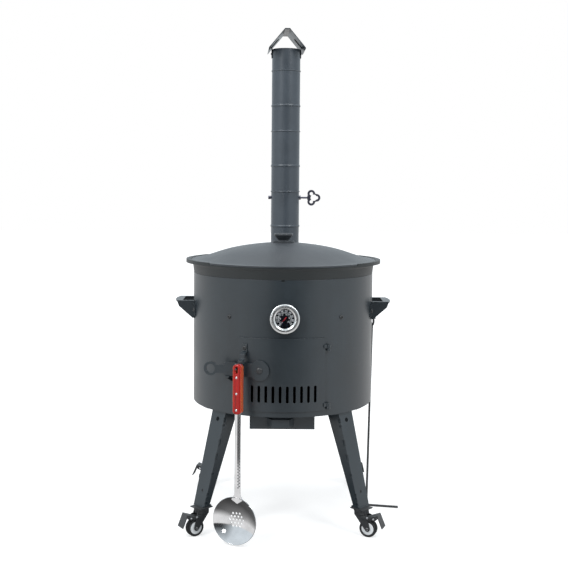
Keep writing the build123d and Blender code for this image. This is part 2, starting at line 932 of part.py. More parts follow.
# Lid and its knob
with BuildPart() as lid_dome:
    lid_seat = ledge_height + seat_gap
    lid_edge_top = lid_seat + lid_wall
    lid_rise = lid_top - lid_edge_top
    with BuildSketch(Plane.XZ):
        with BuildLine():
            outside = [
                (lid_radius * out, lid_edge_top + lid_rise * up)
                for out, up in ((0, 1), *lid_rise_shares, (1, 0))
            ]
            inside = [(across, height - lid_wall) for across, height in outside]
            upper = Spline(*outside, tangents=((1, 0), (1, 0)))
            lower = Spline(*inside, tangents=((1, 0), (1, 0)))
            Line(upper @ 0, lower @ 0)
            Line(upper @ 1, lower @ 1)
        make_face()
    revolve(axis=Axis.Z)
    extrude(
        draw_disc(Plane.XY.offset(lid_seat), knob_stud_radius + hole_gap),
        amount=2 * lid_rise,
        mode=Mode.SUBTRACT,
    )
save(lid_dome, "lid_dome")

with BuildPart() as lid_knob:
    stem_bottom = lid_top + knob_boss_height
    cone_bottom = stem_bottom + knob_stem_height
    rim_bottom = cone_bottom + knob_cone_height
    with BuildSketch(Plane.XZ):
        with BuildLine():
            Polyline(
                (0, lid_top - knob_stud_length),
                (knob_stud_radius, lid_top - knob_stud_length),
                (knob_stud_radius, lid_top - lid_wall / 2),
                (knob_boss_radius, lid_top - lid_wall / 2),
                (knob_boss_radius, stem_bottom),
                (knob_stem_radius, stem_bottom),
                (knob_stem_radius, cone_bottom),
                (knob_radius, rim_bottom),
                (knob_radius, rim_bottom + knob_rim_height),
                (0, rim_bottom + knob_rim_height),
                close=True,
            )
        make_face()
    revolve(axis=Axis.Z)
    rims = [edge for edge in edges().filter_by(GeomType.CIRCLE) if abs(edge.radius - knob_radius) < seat_gap]
    fillet(rims, radius=knob_edge)
    add(lid_dome.part, mode=Mode.SUBTRACT)
save(lid_knob, "lid_knob")

# Thermometer
gauge_plane = facing(gauge_azimuth, drum_radius + seat_gap, gauge_height)
with BuildPart() as thermometer_case:
    extrude(draw_disc(gauge_plane, gauge_case_radius), amount=gauge_depth - gauge_bezel_depth)
    extrude(
        draw_disc(gauge_plane.offset(gauge_depth - gauge_bezel_depth), gauge_bezel_radius),
        amount=gauge_bezel_depth,
        taper=gauge_bezel_taper,
    )
    extrude(
        draw_disc(gauge_plane.offset(gauge_wall), gauge_case_radius - gauge_wall),
        amount=gauge_depth - gauge_bezel_depth - gauge_wall,
        mode=Mode.SUBTRACT,
    )
    extrude(
        draw_disc(gauge_plane.offset(gauge_wall), gauge_window_radius),
        amount=gauge_depth,
        mode=Mode.SUBTRACT,
    )
    extrude(
        draw_disc(gauge_plane, gauge_spindle_radius + running_gap),
        amount=gauge_wall,
        mode=Mode.SUBTRACT,
    )
save(thermometer_case, "thermometer_case")

with BuildPart() as thermometer_dial:
    dial_radius = gauge_case_radius - gauge_wall
    extrude(
        draw_disc(gauge_plane.offset(gauge_dial_level), dial_radius, gauge_spindle_radius + hole_gap),
        amount=gauge_dial_sheet,
    )
save(thermometer_dial, "thermometer_dial")

with BuildPart() as thermometer_glass:
    glass_level = gauge_depth - gauge_bezel_depth - gauge_glass_sheet
    extrude(draw_disc(gauge_plane.offset(glass_level), gauge_glass_radius), amount=gauge_glass_sheet)
save(thermometer_glass, "thermometer_glass")

with BuildPart() as thermometer_pointer:
    pointer_level = gauge_dial_level + gauge_dial_sheet + slide_gap
    extrude(draw_disc(gauge_plane.offset(running_gap), gauge_spindle_radius), amount=pointer_level)
    turn = radians(gauge_pointer_turn)
    with BuildSketch(gauge_plane.offset(pointer_level)):
        with BuildLine():
            Polyline(
                (-gauge_pointer_tail * cos(turn), -gauge_pointer_tail * sin(turn)),
                (gauge_pointer_width / 2 * sin(turn), -gauge_pointer_width / 2 * cos(turn)),
                (gauge_pointer_length * cos(turn), gauge_pointer_length * sin(turn)),
                (-gauge_pointer_width / 2 * sin(turn), gauge_pointer_width / 2 * cos(turn)),
                close=True,
            )
        make_face()
        Circle(gauge_pointer_width)
    extrude(amount=gauge_pointer_sheet)
save(thermometer_pointer, "thermometer_pointer")

with BuildPart() as thermometer_probe:
    extrude(draw_disc(gauge_plane, probe_thread_radius), amount=-probe_thread_length)
    extrude(
        draw_disc(gauge_plane.offset(-probe_thread_length), probe_radius),
        amount=-(probe_length - probe_thread_length),
    )
save(thermometer_probe, "thermometer_probe")

with BuildPart() as thermometer_nut:
    with BuildSketch(gauge_plane.offset(-drum_wall - 2 * seat_gap)):
        RegularPolygon(probe_nut_width / 2, 6, major_radius=False)
        Circle(probe_thread_radius, mode=Mode.SUBTRACT)
    extrude(amount=-probe_nut_height)
save(thermometer_nut, "thermometer_nut")

# Flue outlet, bent upwards behind the drum
with BuildPart() as flue_outlet:
    back = facing(180, flue_distance - flue_bend, flue_height)
    pipe_mouth = Plane(origin=back.origin + Vector(flue_offset, 0, 0), x_dir=back.x_dir, z_dir=back.z_dir)
    extrude(draw_disc(pipe_mouth, flue_radius), amount=-2 * cut_overrun)
    extrude(
        draw_disc(pipe_mouth.offset(-2 * cut_overrun), flue_radius + flue_collar),
        amount=2 * cut_overrun + drum_radius + flue_collar_depth - flue_distance + flue_bend,
    )
    trim_to_radius(drum_radius)
    extrude(draw_disc(pipe_mouth, flue_radius), amount=-2 * cut_overrun)
    revolve(
        draw_disc(pipe_mouth, flue_radius),
        axis=Axis((0, flue_distance - flue_bend, flue_height + flue_bend),
        (1, 0, 0)),
        revolution_arc=90,
    )
    with BuildSketch(Plane.XY.offset(flue_height + flue_bend)):
        with Locations((flue_offset, flue_distance)):
            Circle(flue_radius)
    extrude(amount=flue_step - seat_gap - flue_height - flue_bend)
    with BuildSketch(Plane.XY.offset(flue_step - seat_gap)):
        with Locations((flue_offset, flue_distance)):
            Circle(spigot_radius)
    extrude(amount=outlet_spigot_length)
    extrude(
        draw_disc(pipe_mouth.offset(-2 * cut_overrun), spigot_inner),
        amount=2 * cut_overrun,
        mode=Mode.SUBTRACT,
    )
    revolve(
        draw_disc(pipe_mouth, spigot_inner),
        axis=Axis((0, flue_distance - flue_bend, flue_height + flue_bend),
        (1, 0, 0)),
        revolution_arc=90,
        mode=Mode.SUBTRACT,
    )
    with BuildSketch(Plane.XY.offset(flue_height + flue_bend)):
        with Locations((flue_offset, flue_distance)):
            Circle(spigot_inner)
    extrude(amount=flue_step + outlet_spigot_length, mode=Mode.SUBTRACT)
save(flue_outlet, "flue_outlet")

# Chimney pipes, each with a bead and a spigot for the next
pipe_axis = Axis((flue_offset, flue_distance, 0), (0, 0, 1))
pipe_plane = Plane(origin=(flue_offset, flue_distance, 0), x_dir=(1, 0, 0), z_dir=(0, -1, 0))
pipe_names = ("chimney_lower", "chimney_damper_pipe", "chimney_middle", "chimney_upper")
for name, low, high in zip(pipe_names, section_ends[:-1], section_ends[1:]):
    with BuildPart() as pipe:
        last = name == pipe_names[-1]
        first = name == pipe_names[0]
        revolve(
            draw_outline(
                pipe_plane,
                (pipe_inner, low),
                (flue_radius, low),
                (flue_radius, high),
                (pipe_inner, high),
            ),
            axis=pipe_axis,
        )
        if not last:
            revolve(
                draw_outline(
                    pipe_plane,
                    (spigot_inner, high - 2 * flue_wall),
                    (pipe_inner, high - 2 * flue_wall),
                    (pipe_inner, high),
                    (spigot_radius, high),
                    (spigot_radius, high + spigot_length),
                    (spigot_inner, high + spigot_length),
                ),
                axis=pipe_axis,
            )
        if not first:
            with BuildSketch(pipe_plane):
                with Locations((flue_radius, low + bead_height)):
                    Circle(bead_radius)
            revolve(axis=pipe_axis)
        if name == pipe_names[1]:
            extrude(
                draw_disc(
                    Plane(origin=(flue_offset, flue_distance, damper_height), z_dir=(1, 0, 0)),
                    damper_rod_radius + running_gap,
                ),
                amount=flue_radius + cut_overrun,
                both=True,
                mode=Mode.SUBTRACT,
            )
    save(pipe, name)

# Damper across the chimney, turned by its key
rod_plane = Plane(origin=(flue_offset, flue_distance, damper_height), x_dir=(0, 1, 0), z_dir=(1, 0, 0))
with BuildPart() as damper_rod:
    extrude(
        draw_disc(rod_plane.offset(-damper_nub_reach), damper_rod_radius),
        amount=damper_nub_reach + damper_key_start,
    )
    extrude(
        draw_disc(rod_plane.offset(-damper_nub_reach), damper_nub_radius),
        amount=damper_nub_reach - flue_radius - slide_gap,
    )
    extrude(
        draw_disc(rod_plane.offset(flue_radius + slide_gap), damper_collar_radius),
        amount=damper_collar_length,
    )
save(damper_rod, "damper_rod")

with BuildPart() as damper_disc:
    disc_middle = Plane(origin=rod_plane.origin, x_dir=(1, 0, 0), z_dir=(0, -1, 0))
    extrude(
        draw_disc(disc_middle.offset(damper_rod_radius), damper_disc_radius),
        amount=damper_disc_sheet,
    )
save(damper_disc, "damper_disc")

key_plane = Plane(
    origin=(flue_offset + damper_key_start, flue_distance, damper_height), x_dir=(1, 0, 0), z_dir=(0, -1, 0)
)
with BuildPart() as damper_key:
    lobes = (
        (key_lobe_near, -key_lobe_spread),
        (key_lobe_near, key_lobe_spread),
        (key_lobe_far, 0),
    )
    with BuildSketch(key_plane):
        with Locations(*lobes):
            Circle(key_lobe_radius)
        with Locations((key_middle, 0)):
            Circle(key_body_radius)
        with Locations((key_lobe_near / 2, 0)):
            Rectangle(key_lobe_near, key_stem_height)
        with Locations(*lobes):
            Circle(key_hole_radius, mode=Mode.SUBTRACT)
        with Locations((key_middle, 0)):
            Circle(key_middle_radius, mode=Mode.SUBTRACT)
    extrude(amount=key_sheet / 2, both=True)
save(damper_key, "damper_key")

# Rain cap, a folded plate on two straps
cap_half = cap_width / 2
cap_drop = (cap_half - cap_ridge / 2) * tan(radians(cap_slope))
cap_upright = cap_sheet / cos(radians(cap_slope))
cap_turn = radians(cap_yaw)
cap_plane = Plane(
    origin=(flue_offset, flue_distance, 0),
    x_dir=(cos(cap_turn), sin(cap_turn), 0),
    z_dir=(sin(cap_turn), -cos(cap_turn), 0),
)
with BuildPart() as rain_cap:
    extrude(
        draw_outline(
            cap_plane,
            (-cap_half, cap_top - cap_drop),
            (-cap_ridge / 2, cap_top),
            (cap_ridge / 2, cap_top),
            (cap_half, cap_top - cap_drop),
            (cap_half, cap_top - cap_drop - cap_upright),
            (cap_ridge / 2, cap_top - cap_upright),
            (-cap_ridge / 2, cap_top - cap_upright),
            (-cap_half, cap_top - cap_drop - cap_upright),
        ),
        amount=cap_depth / 2,
        both=True,
    )
save(rain_cap, "rain_cap")

with BuildPart() as cap_straps:
    strap_out = flue_radius + strap_sheet
    strap_upright = strap_sheet / cos(radians(cap_slope))

    def under_cap(across):
        """Height of the plate's underside at a distance from the chimney's axis."""
        return cap_top - cap_upright - (across - cap_ridge / 2) * tan(radians(cap_slope))

    for side in (-1, 1):
        extrude(
            draw_outline(
                cap_plane,
                (side * flue_radius, strap_bottom),
                (side * strap_out, strap_bottom),
                (side * strap_out, under_cap(strap_out)),
                (side * strap_inner, under_cap(strap_inner)),
                (side * strap_inner, under_cap(strap_inner) - strap_upright),
                (side * flue_radius, under_cap(flue_radius) - strap_upright),
            ),
            amount=strap_width / 2,
            both=True,
        )
    with BuildSketch(Plane.XY.offset(strap_bottom)):
        with Locations((flue_offset, flue_distance)):
            Circle(flue_radius)
    extrude(amount=section_ends[-1] - strap_bottom, mode=Mode.SUBTRACT)
save(cap_straps, "cap_straps")

# Ash drawer, its pull and the rails under the drum
tray_middle = -tray_front + tray_plate_sheet + tray_length / 2
with BuildPart() as ash_tray:
    tray_low = tray_bottom + rail_sheet + seat_gap
    with BuildSketch(Plane.XY.offset(tray_low)):
        with Locations((0, tray_middle)):
            Rectangle(tray_width, tray_length)
    extrude(amount=drum_bottom - tray_head_gap - tray_low)
    with BuildSketch(Plane.XY.offset(tray_low + tray_sheet)):
        with Locations((0, tray_middle)):
            Rectangle(tray_width - 2 * tray_sheet, tray_length - 2 * tray_sheet)
    extrude(amount=drum_bottom - tray_bottom, mode=Mode.SUBTRACT)
    with BuildSketch(Plane.XY.offset(tray_bottom)):
        with Locations((0, -tray_front + tray_plate_sheet / 2)):
            Rectangle(tray_plate_width, tray_plate_sheet)
    extrude(amount=drum_bottom - slide_gap - tray_bottom)
save(ash_tray, "ash_tray")

with BuildPart() as ash_pull:
    face = -tray_front - pull_sheet / 2
    with BuildSketch(Plane.XY.offset((tray_bottom + drum_bottom - pull_height) / 2)):
        with BuildLine():
            Polyline(
                (pull_offset - pull_width / 2, face),
                (pull_offset - pull_base / 2, face),
                (pull_offset - pull_face / 2, face + pull_sheet - pull_standoff),
                (pull_offset + pull_face / 2, face + pull_sheet - pull_standoff),
                (pull_offset + pull_base / 2, face),
                (pull_offset + pull_width / 2, face),
            )
        trace(line_width=pull_sheet)
    extrude(amount=pull_height)
save(ash_pull, "ash_pull")

with BuildPart() as ash_rails:
    rail_start = -tray_front + tray_plate_sheet + slide_gap
    rail_length = tray_length - slide_gap
    rail_in = tray_width / 2 + slide_gap
    for side in (-1, 1):
        with BuildSketch(Plane.XZ.offset(-rail_start)):
            with BuildLine():
                Polyline(
                    (side * rail_in, drum_bottom),
                    (side * (rail_in + rail_sheet), drum_bottom),
                    (side * (rail_in + rail_sheet), tray_bottom),
                    (side * (rail_in - rail_lip), tray_bottom),
                    (side * (rail_in - rail_lip), tray_bottom + rail_sheet),
                    (side * rail_in, tray_bottom + rail_sheet),
                    close=True,
                )
            make_face()
    extrude(amount=-rail_length)
save(ash_rails, "ash_rails")

# Legs, folded angles with a perforated fold, each the mirror of its neighbour
leg_height = drum_bottom - caster_plate_top


def draw_angle(height, reach, front, back, web):
    """Level section of a leg."""
    return draw_outline(
        lying(-leg_azimuth, height),
        (reach, front),
        (reach, back),
        (reach - leg_sheet, back),
        (reach - leg_sheet, front - leg_sheet),
        (reach - web, front - leg_sheet),
        (reach - web, front),
    )


with BuildPart() as leg_front_left:
    leg_head = draw_angle(drum_bottom, leg_top_reach, leg_top_front, leg_top_back, leg_web_top)
    leg_foot = draw_angle(caster_plate_top, leg_foot_reach, leg_foot_front, leg_foot_back, leg_web_foot)
    loft([leg_head.face(), leg_foot.face()], ruled=True)
    extrude(
        draw_outline(
            lying(-leg_azimuth, drum_bottom),
            (leg_top_reach, leg_top_front),
            (leg_top_reach, leg_top_back),
            (leg_top_reach - leg_head_tab, leg_top_back + leg_tab_inset),
            (leg_top_reach - leg_head_tab, leg_top_front),
        ),
        amount=-leg_sheet,
    )
    extrude(
        draw_outline(
            lying(-leg_azimuth, caster_plate_top),
            (leg_foot_reach - leg_sheet, leg_foot_front),
            (leg_foot_reach - leg_sheet, leg_foot_back),
            (leg_foot_reach - leg_foot_tab, leg_foot_back + leg_tab_inset),
            (leg_foot_reach - leg_foot_tab, leg_foot_front),
        ),
        amount=leg_sheet,
    )
    leg_run = leg_foot_reach - leg_top_reach
    leg_slope_length = hypot(leg_run, leg_height)
    out_dir = standing(-leg_azimuth).x_dir
    along_dir = lying(-leg_azimuth, 0).y_dir
    leg_face = Plane(
        origin=out_dir * leg_top_reach + along_dir * leg_top_front + Vector(0, 0, drum_bottom),
        x_dir=along_dir,
        z_dir=out_dir * leg_height + Vector(0, 0, leg_run),
    )
    fold_drift = (leg_foot_front - leg_top_front) / leg_slope_length
    with BuildSketch(leg_face):
        for start, end in leg_slits:
            middle = (start + end) / 2
            with Locations((fold_drift * middle - leg_slit_width / 4, -middle)):
                Rectangle(leg_slit_width, end - start)
        hole_across = (leg_top_front + leg_top_back) / 2 - leg_top_front
        with Locations((hole_across, -leg_hole_drop)):
            Circle(leg_hole_radius)
        with Locations((hole_across + fold_drift * leg_low_hole_drop / 2, -leg_low_hole_drop)):
            Circle(leg_low_hole_radius)
    extrude(amount=2 * leg_sheet, both=True, mode=Mode.SUBTRACT)
    with BuildSketch(lying(-leg_azimuth, drum_bottom)):
        with Locations(*leg_bolt_places):
            Circle(bolt_radius + hole_gap)
    extrude(amount=-2 * leg_sheet, mode=Mode.SUBTRACT)
save(leg_front_left, "leg_front_left")

with BuildPart() as leg_front_right:
    mirror(leg_front_left.part, about=Plane.YZ)
save(leg_front_right, "leg_front_right")

with BuildPart() as leg_rear_left:
    mirror(leg_front_left.part, about=Plane.XZ)
save(leg_rear_left, "leg_rear_left")

with BuildPart() as leg_rear_right:
    mirror(leg_front_right.part, about=Plane.XZ)
save(leg_rear_right, "leg_rear_right")

with BuildPart() as leg_bolts:
    for azimuth, side in leg_places:
        with BuildSketch(lying(azimuth, drum_bottom - leg_sheet)):
            with Locations(*[(reach, side * across) for reach, across in leg_bolt_places]):
                Circle(bolt_radius)
    extrude(amount=leg_sheet + floor_thickness + bolt_nut_height)
    for azimuth, side in leg_places:
        with BuildSketch(lying(azimuth, drum_bottom - leg_sheet)):
            with Locations(*[(reach, side * across) for reach, across in leg_bolt_places]):
                Circle(bolt_head_radius)
    extrude(amount=-bolt_head_height)
save(leg_bolts, "leg_bolts")

# Casters
race_top = caster_plate_top - caster_plate_sheet
crown_top = race_top - race_height - seat_gap
crown_bottom = crown_top - crown_height


def swivel_spot(corner):
    """Where a caster's swivel axis meets the floor."""
    return facing(corner, caster_reach, 0).origin


with BuildPart() as caster_plates:
    for corner, heading in caster_headings.values():
        with BuildSketch(lying(corner, race_top)):
            with Locations((caster_reach, 0)):
                Rectangle(caster_plate_side, caster_plate_side)
    extrude(amount=caster_plate_sheet)
    for corner, heading in caster_headings.values():
        with BuildSketch(lying(corner, race_top)):
            with Locations((caster_reach, 0)):
                Circle(race_radius)
    extrude(amount=-race_height)
    for corner, heading in caster_headings.values():
        with BuildSketch(lying(corner, crown_bottom)):
            with Locations((caster_reach, 0)):
                Circle(king_radius + running_gap)
    extrude(amount=caster_plate_top, mode=Mode.SUBTRACT)
save(caster_plates, "caster_plates")

for name, (corner, heading) in caster_headings.items():
    spot = swivel_spot(corner)
    roll_plane = standing(heading, spot)
    with BuildPart() as fork:
        for side in (-1, 1):
            with BuildSketch(roll_plane.offset(side * fork_inner)):
                with Locations((wheel_trail, wheel_radius)):
                    Circle(fork_end_radius)
                with Locations((0, (crown_top + crown_bottom) / 2)):
                    Rectangle(crown_width, crown_height)
                make_hull()
            extrude(amount=side * fork_sheet)
        extrude(
            draw_disc(Plane(origin=spot + Vector(0, 0, crown_bottom)), crown_radius),
            amount=crown_height,
        )
        extrude(
            draw_disc(Plane(origin=spot + Vector(0, 0, crown_top)), king_radius),
            amount=seat_gap + race_height + caster_plate_sheet,
        )
        with BuildSketch(roll_plane):
            with Locations((wheel_trail, wheel_radius)):
                Circle(axle_radius)
            with Locations((pedal_pin_out, pedal_pin_height)):
                Circle(pedal_pin_radius)
        extrude(amount=fork_inner + fork_sheet, both=True)
        for side in (-1, 1):
            with BuildSketch(roll_plane.offset(side * (fork_inner + fork_sheet))):
                with Locations((wheel_trail, wheel_radius)):
                    Circle(axle_head_radius)
            extrude(amount=side * axle_head_height)
    save(fork, f"caster_fork_{name}")

    with BuildPart() as wheel:
        with BuildSketch(roll_plane):
            with Locations((wheel_trail, wheel_radius)):
                Circle(wheel_radius)
        extrude(amount=wheel_half_width, both=True)
        fillet(edges().filter_by(GeomType.CIRCLE), radius=wheel_edge)
        with BuildSketch(roll_plane):
            with Locations((wheel_trail, wheel_radius)):
                Circle(axle_radius + running_gap)
        extrude(amount=2 * wheel_half_width, both=True, mode=Mode.SUBTRACT)
    save(wheel, f"caster_wheel_{name}")

    with BuildPart() as pedal:
        with BuildSketch(roll_plane):
            with BuildLine():
                Line((pedal_pin_out, pedal_pin_height), pedal_elbow)
            trace(line_width=pedal_sheet)
            with Locations((pedal_pin_out, pedal_pin_height)):
                Circle(pedal_barrel_radius)
        extrude(amount=pedal_arm_half, both=True)
        with BuildSketch(roll_plane):
            with BuildLine():
                Polyline(pedal_elbow, pedal_crest, pedal_toe)
            trace(line_width=pedal_sheet)
        extrude(amount=pedal_half_width, both=True)
        with BuildSketch(roll_plane):
            with Locations((pedal_pin_out, pedal_pin_height)):
                Circle(pedal_pin_radius + running_gap)
        extrude(amount=pedal_half_width, both=True, mode=Mode.SUBTRACT)
    save(pedal, f"caster_pedal_{name}")

# Poker hanging by its ring on a peg behind the right handle
ring_middle = Vector(drum_radius + poker_ring_reach, poker_ring_side, drum_top - poker_ring_drop)
ring_azimuth = 90 + degrees(asin(ring_middle.Y / hypot(ring_middle.X, ring_middle.Y)))
ring_reach = hypot(ring_middle.X, ring_middle.Y)
ring_plane = facing(ring_azimuth, ring_reach, ring_middle.Z)
with BuildPart() as poker_peg:
    peg_height = ring_middle.Z + poker_ring_radius - poker_radius - seat_gap - peg_radius
    extrude(
        draw_disc(facing(ring_azimuth, drum_radius - drum_wall / 2, peg_height), peg_radius),
        amount=peg_length,
    )
    trim_to_radius(drum_radius)
save(poker_peg, "poker_peg")

with BuildPart() as poker:
    with BuildSketch(standing(ring_azimuth)):
        with Locations((ring_reach, ring_middle.Z + poker_ring_radius)):
            Circle(poker_radius)
    revolve(axis=Axis(ring_middle, ring_plane.z_dir))
    heel = Vector(drum_radius - poker_heel_inset, poker_heel_side, poker_radius + seat_gap)
    toe = Vector(drum_radius + poker_toe_reach, poker_toe_side, poker_radius + seat_gap)
    rod_top = ring_middle - Vector(0, 0, poker_ring_radius)
    with BuildSketch(Plane(origin=heel, z_dir=rod_top - heel)):
        Circle(poker_radius)
    extrude(amount=(rod_top - heel).length)
    with BuildSketch(Plane(origin=heel, z_dir=toe - heel)):
        Circle(poker_radius)
    extrude(amount=(toe - heel).length)
    with Locations(heel):
        Sphere(poker_radius)
save(poker, "poker")
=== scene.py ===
"""Looks of a wood-fired cauldron stove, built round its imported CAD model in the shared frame."""

import logging
import math
from collections.abc import Iterable, Sequence
from dataclasses import dataclass, replace
from enum import Enum, IntEnum
from functools import cached_property

import bpy
from mathutils import Matrix, Vector

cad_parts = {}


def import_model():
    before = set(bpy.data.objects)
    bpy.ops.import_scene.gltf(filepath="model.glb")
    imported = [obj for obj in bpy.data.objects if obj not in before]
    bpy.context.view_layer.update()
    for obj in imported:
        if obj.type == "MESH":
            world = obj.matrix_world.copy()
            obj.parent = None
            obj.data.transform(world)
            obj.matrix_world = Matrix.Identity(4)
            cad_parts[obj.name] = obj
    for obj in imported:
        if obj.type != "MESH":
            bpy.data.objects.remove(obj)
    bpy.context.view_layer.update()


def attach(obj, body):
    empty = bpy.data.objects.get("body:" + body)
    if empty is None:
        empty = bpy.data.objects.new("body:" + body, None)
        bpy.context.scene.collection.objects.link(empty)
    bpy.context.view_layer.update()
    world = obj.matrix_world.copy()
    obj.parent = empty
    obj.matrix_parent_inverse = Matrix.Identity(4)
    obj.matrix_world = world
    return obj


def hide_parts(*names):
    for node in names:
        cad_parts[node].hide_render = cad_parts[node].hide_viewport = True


LOG = logging.getLogger("stove")
MM = 0.001
UP = Vector((0.0, 0.0, 1.0))
CORNERS = ("front_left", "front_right", "rear_left", "rear_right")
Colour = Triple = tuple[float, float, float]
Pair = tuple[float, float]
Outline = Sequence[Pair]
Node, Socket = bpy.types.Node, bpy.types.NodeSocket


class Slot(Enum):
    """Material slots of the record."""

    PAINT = "anthracite_paint"
    IRON = "cast_iron"
    ZINC = "zinc_steel"
    DARK = "dark_steel"
    POLISHED = "polished_steel"
    BRUSHED = "brushed_steel"
    WOOD = "red_wood"
    DIAL = "black_dial"
    GLASS = "clear_glass"
    POINTER = "red_pointer"
    RUBBER = "wheel_rubber"


class Side(IntEnum):
    """Left or right hand, seen from the front."""

    LEFT = -1
    RIGHT = 1


# Shader nodes


class Wiring:
    """Places and joins shader nodes in one node tree."""

    def __init__(self, tree: bpy.types.NodeTree) -> None:
        """Take a tree and empty it."""
        self.tree = tree
        tree.nodes.clear()

    def feed(self, node: Node, inputs: dict) -> None:
        """Give inputs of a node, by name or number, a plain value or a socket each."""
        for name, value in inputs.items():
            if isinstance(value, Socket):
                self.tree.links.new(value, node.inputs[name])
            else:
                node.inputs[name].default_value = value

    def place(self, kind: str, inputs: dict | None = None, **settings: object) -> Node:
        """Add a node.

        Args:
            kind: The node's type, without its ShaderNode prefix.
            inputs: Socket name or number to a plain value or to a socket that feeds it.
            settings: Properties of the node itself.

        Returns:
            The new node.
        """
        node = self.tree.nodes.new(kind if kind.startswith("NodeGroup") else f"ShaderNode{kind}")
        for name, value in settings.items():
            setattr(node, name, value)
        self.feed(node, inputs or {})
        return node

    def effect(self, group: bpy.types.NodeTree, **inputs: object) -> Sequence[Socket]:
        """Outputs of a shared effect, placed with a finish's own values."""
        return self.place("Group", inputs, node_tree=group).outputs

    def math(self, operation: str, *values: object, clamp: bool = False) -> Socket:
        """Result of a Math node on sockets or numbers."""
        return self.place("Math", dict(enumerate(values)), operation=operation, use_clamp=clamp).outputs[0]

    def vector(self, operation: str, *values: object) -> Sequence[Socket]:
        """Outputs of a Vector Math node: the vector, then the value."""
        return self.place("VectorMath", dict(enumerate(values)), operation=operation).outputs

    def part(self, vector: Socket, axis: str) -> Socket:
        """One coordinate of a vector."""
        return self.place("SeparateXYZ", {0: vector}).outputs[axis]

    def span(self, value: object, low: float, high: float, start: float, end: float) -> Socket:
        """Value mapped from low..high to start..end, held at both ends."""
        sockets = {"Value": value, "From Min": low, "From Max": high, "To Min": start, "To Max": end}
        return self.place("MapRange", sockets).outputs[0]

    def blend(self, share: object, first: object, second: object) -> Socket:
        """Colour between two colours or sockets, by a share from 0 to 1."""
        first, second = ((*end, 1.0) if isinstance(end, tuple) else end for end in (first, second))
        return self.place("Mix", {0: share, 6: first, 7: second}, data_type="RGBA").outputs[2]

    def noise(
        self, vector: Socket, scale: object, detail: float = 2.0, rough: float = 0.5, warp: float = 0.0
    ) -> Socket:
        """Value of a noise whose grain is one over the scale, in metres."""
        grain = {"Scale": scale, "Detail": detail, "Roughness": rough, "Distortion": warp}
        return self.place("TexNoise", {"Vector": vector, **grain}).outputs["Fac"]

    def stretch(self, vector: Socket, scale: Triple) -> Socket:
        """Vector scaled by its own factor along each axis."""
        return self.place("Mapping", {"Vector": vector, "Scale": scale}).outputs[0]

    def bump(self, height: Socket, strength: float, depth: float, normal: Socket | None = None) -> Socket:
        """Normal bent by a height, which is depth metres at 1."""
        sockets = {"Height": height, "Strength": strength, "Distance": depth}
        if normal is not None:
            sockets["Normal"] = normal
        return self.place("Bump", sockets).outputs["Normal"]


def make_group(name: str, inputs: dict[str, str], outputs: dict[str, str]) -> tuple[Wiring, dict, Node]:
    """Start a shader node group.

    Args:
        name: The group's name.
        inputs: Name to socket type of each input.
        outputs: Name to socket type of each output.

    Returns:
        The wiring inside it, its input sockets by name, and its output node.
    """
    tree = bpy.data.node_groups.new(name, "ShaderNodeTree")
    for way, sockets in (("INPUT", inputs), ("OUTPUT", outputs)):
        for socket, kind in sockets.items():
            tree.interface.new_socket(name=socket, in_out=way, socket_type=f"NodeSocket{kind}")
    wiring = Wiring(tree)
    entry = wiring.place("NodeGroupInput")
    return wiring, {socket: entry.outputs[socket] for socket in inputs}, wiring.place("NodeGroupOutput")


class Effects:
    """Surface effects that more than one finish uses, each a node group built once."""

    @cached_property
    def rub(self) -> bpy.types.NodeTree:
        """Edges rounded in shading, with a mask of where hands and tools rub them."""
        wiring, given, out = make_group(
            "edge_rub", {"Radius": "Float", "Vector": "Vector"}, {"Mask": "Float", "Normal": "Vector"}
        )
        rounded = wiring.place("Bevel", {"Radius": given["Radius"]}, samples=4).outputs[0]
        flat = wiring.place("NewGeometry").outputs["Normal"]
        edge = wiring.span(wiring.vector("DOT_PRODUCT", rounded, flat)["Value"], 0.93, 0.999, 1.0, 0.0)
        patches = wiring.span(wiring.noise(given["Vector"], 55.0, 3.0), 0.42, 0.62, 0.25, 1.0)
        wiring.feed(out, {"Mask": wiring.math("MULTIPLY", edge, patches, clamp=True), "Normal": rounded})
        return wiring.tree

    @cached_property
    def grain(self) -> bpy.types.NodeTree:
        """Fine skin of a coat or casting, with broad uneven patches of tone."""
        wiring, given, out = make_group(
            "skin_grain", {"Vector": "Vector", "Scale": "Float"},
            {"Skin": "Float", "Patches": "Float", "Pits": "Float"},
        )
        place, scale = given["Vector"], given["Scale"]
        skin = wiring.noise(place, scale, 3.0)
        pits = wiring.place("TexVoronoi", {"Vector": place, "Scale": scale}).outputs["Distance"]
        broad = wiring.math("MULTIPLY", wiring.noise(place, 7.0, 4.0, 0.6), 0.65)
        runs = wiring.math("MULTIPLY", wiring.noise(wiring.stretch(place, (14.0, 14.0, 2.5)), 1.6), 0.35)
        patches = wiring.math("ADD", broad, runs)
        wiring.feed(out, {"Skin": skin, "Patches": patches, "Pits": wiring.span(pits, 0.0, 0.45, 0.0, 1.0)})
        return wiring.tree

    @cached_property
    def scratches(self) -> bpy.types.NodeTree:
        """Hairline scratches that run along one direction of the given vector."""
        wiring, given, out = make_group(
            "hairlines", {"Vector": "Vector", "Along": "Vector"}, {"Lines": "Float", "Smears": "Float"}
        )
        stretched = wiring.vector("MULTIPLY", given["Vector"], given["Along"])[0]
        lines = wiring.noise(stretched, 1.0, 4.0, 0.7)
        wiring.feed(out, {"Lines": lines, "Smears": wiring.noise(given["Vector"], 38.0, 3.0)})
        return wiring.tree


EFFECTS = Effects()


def shade(colour: Colour, share: float) -> Colour:
    """Colour made darker or lighter by a share."""
    return tuple(share * part for part in colour)


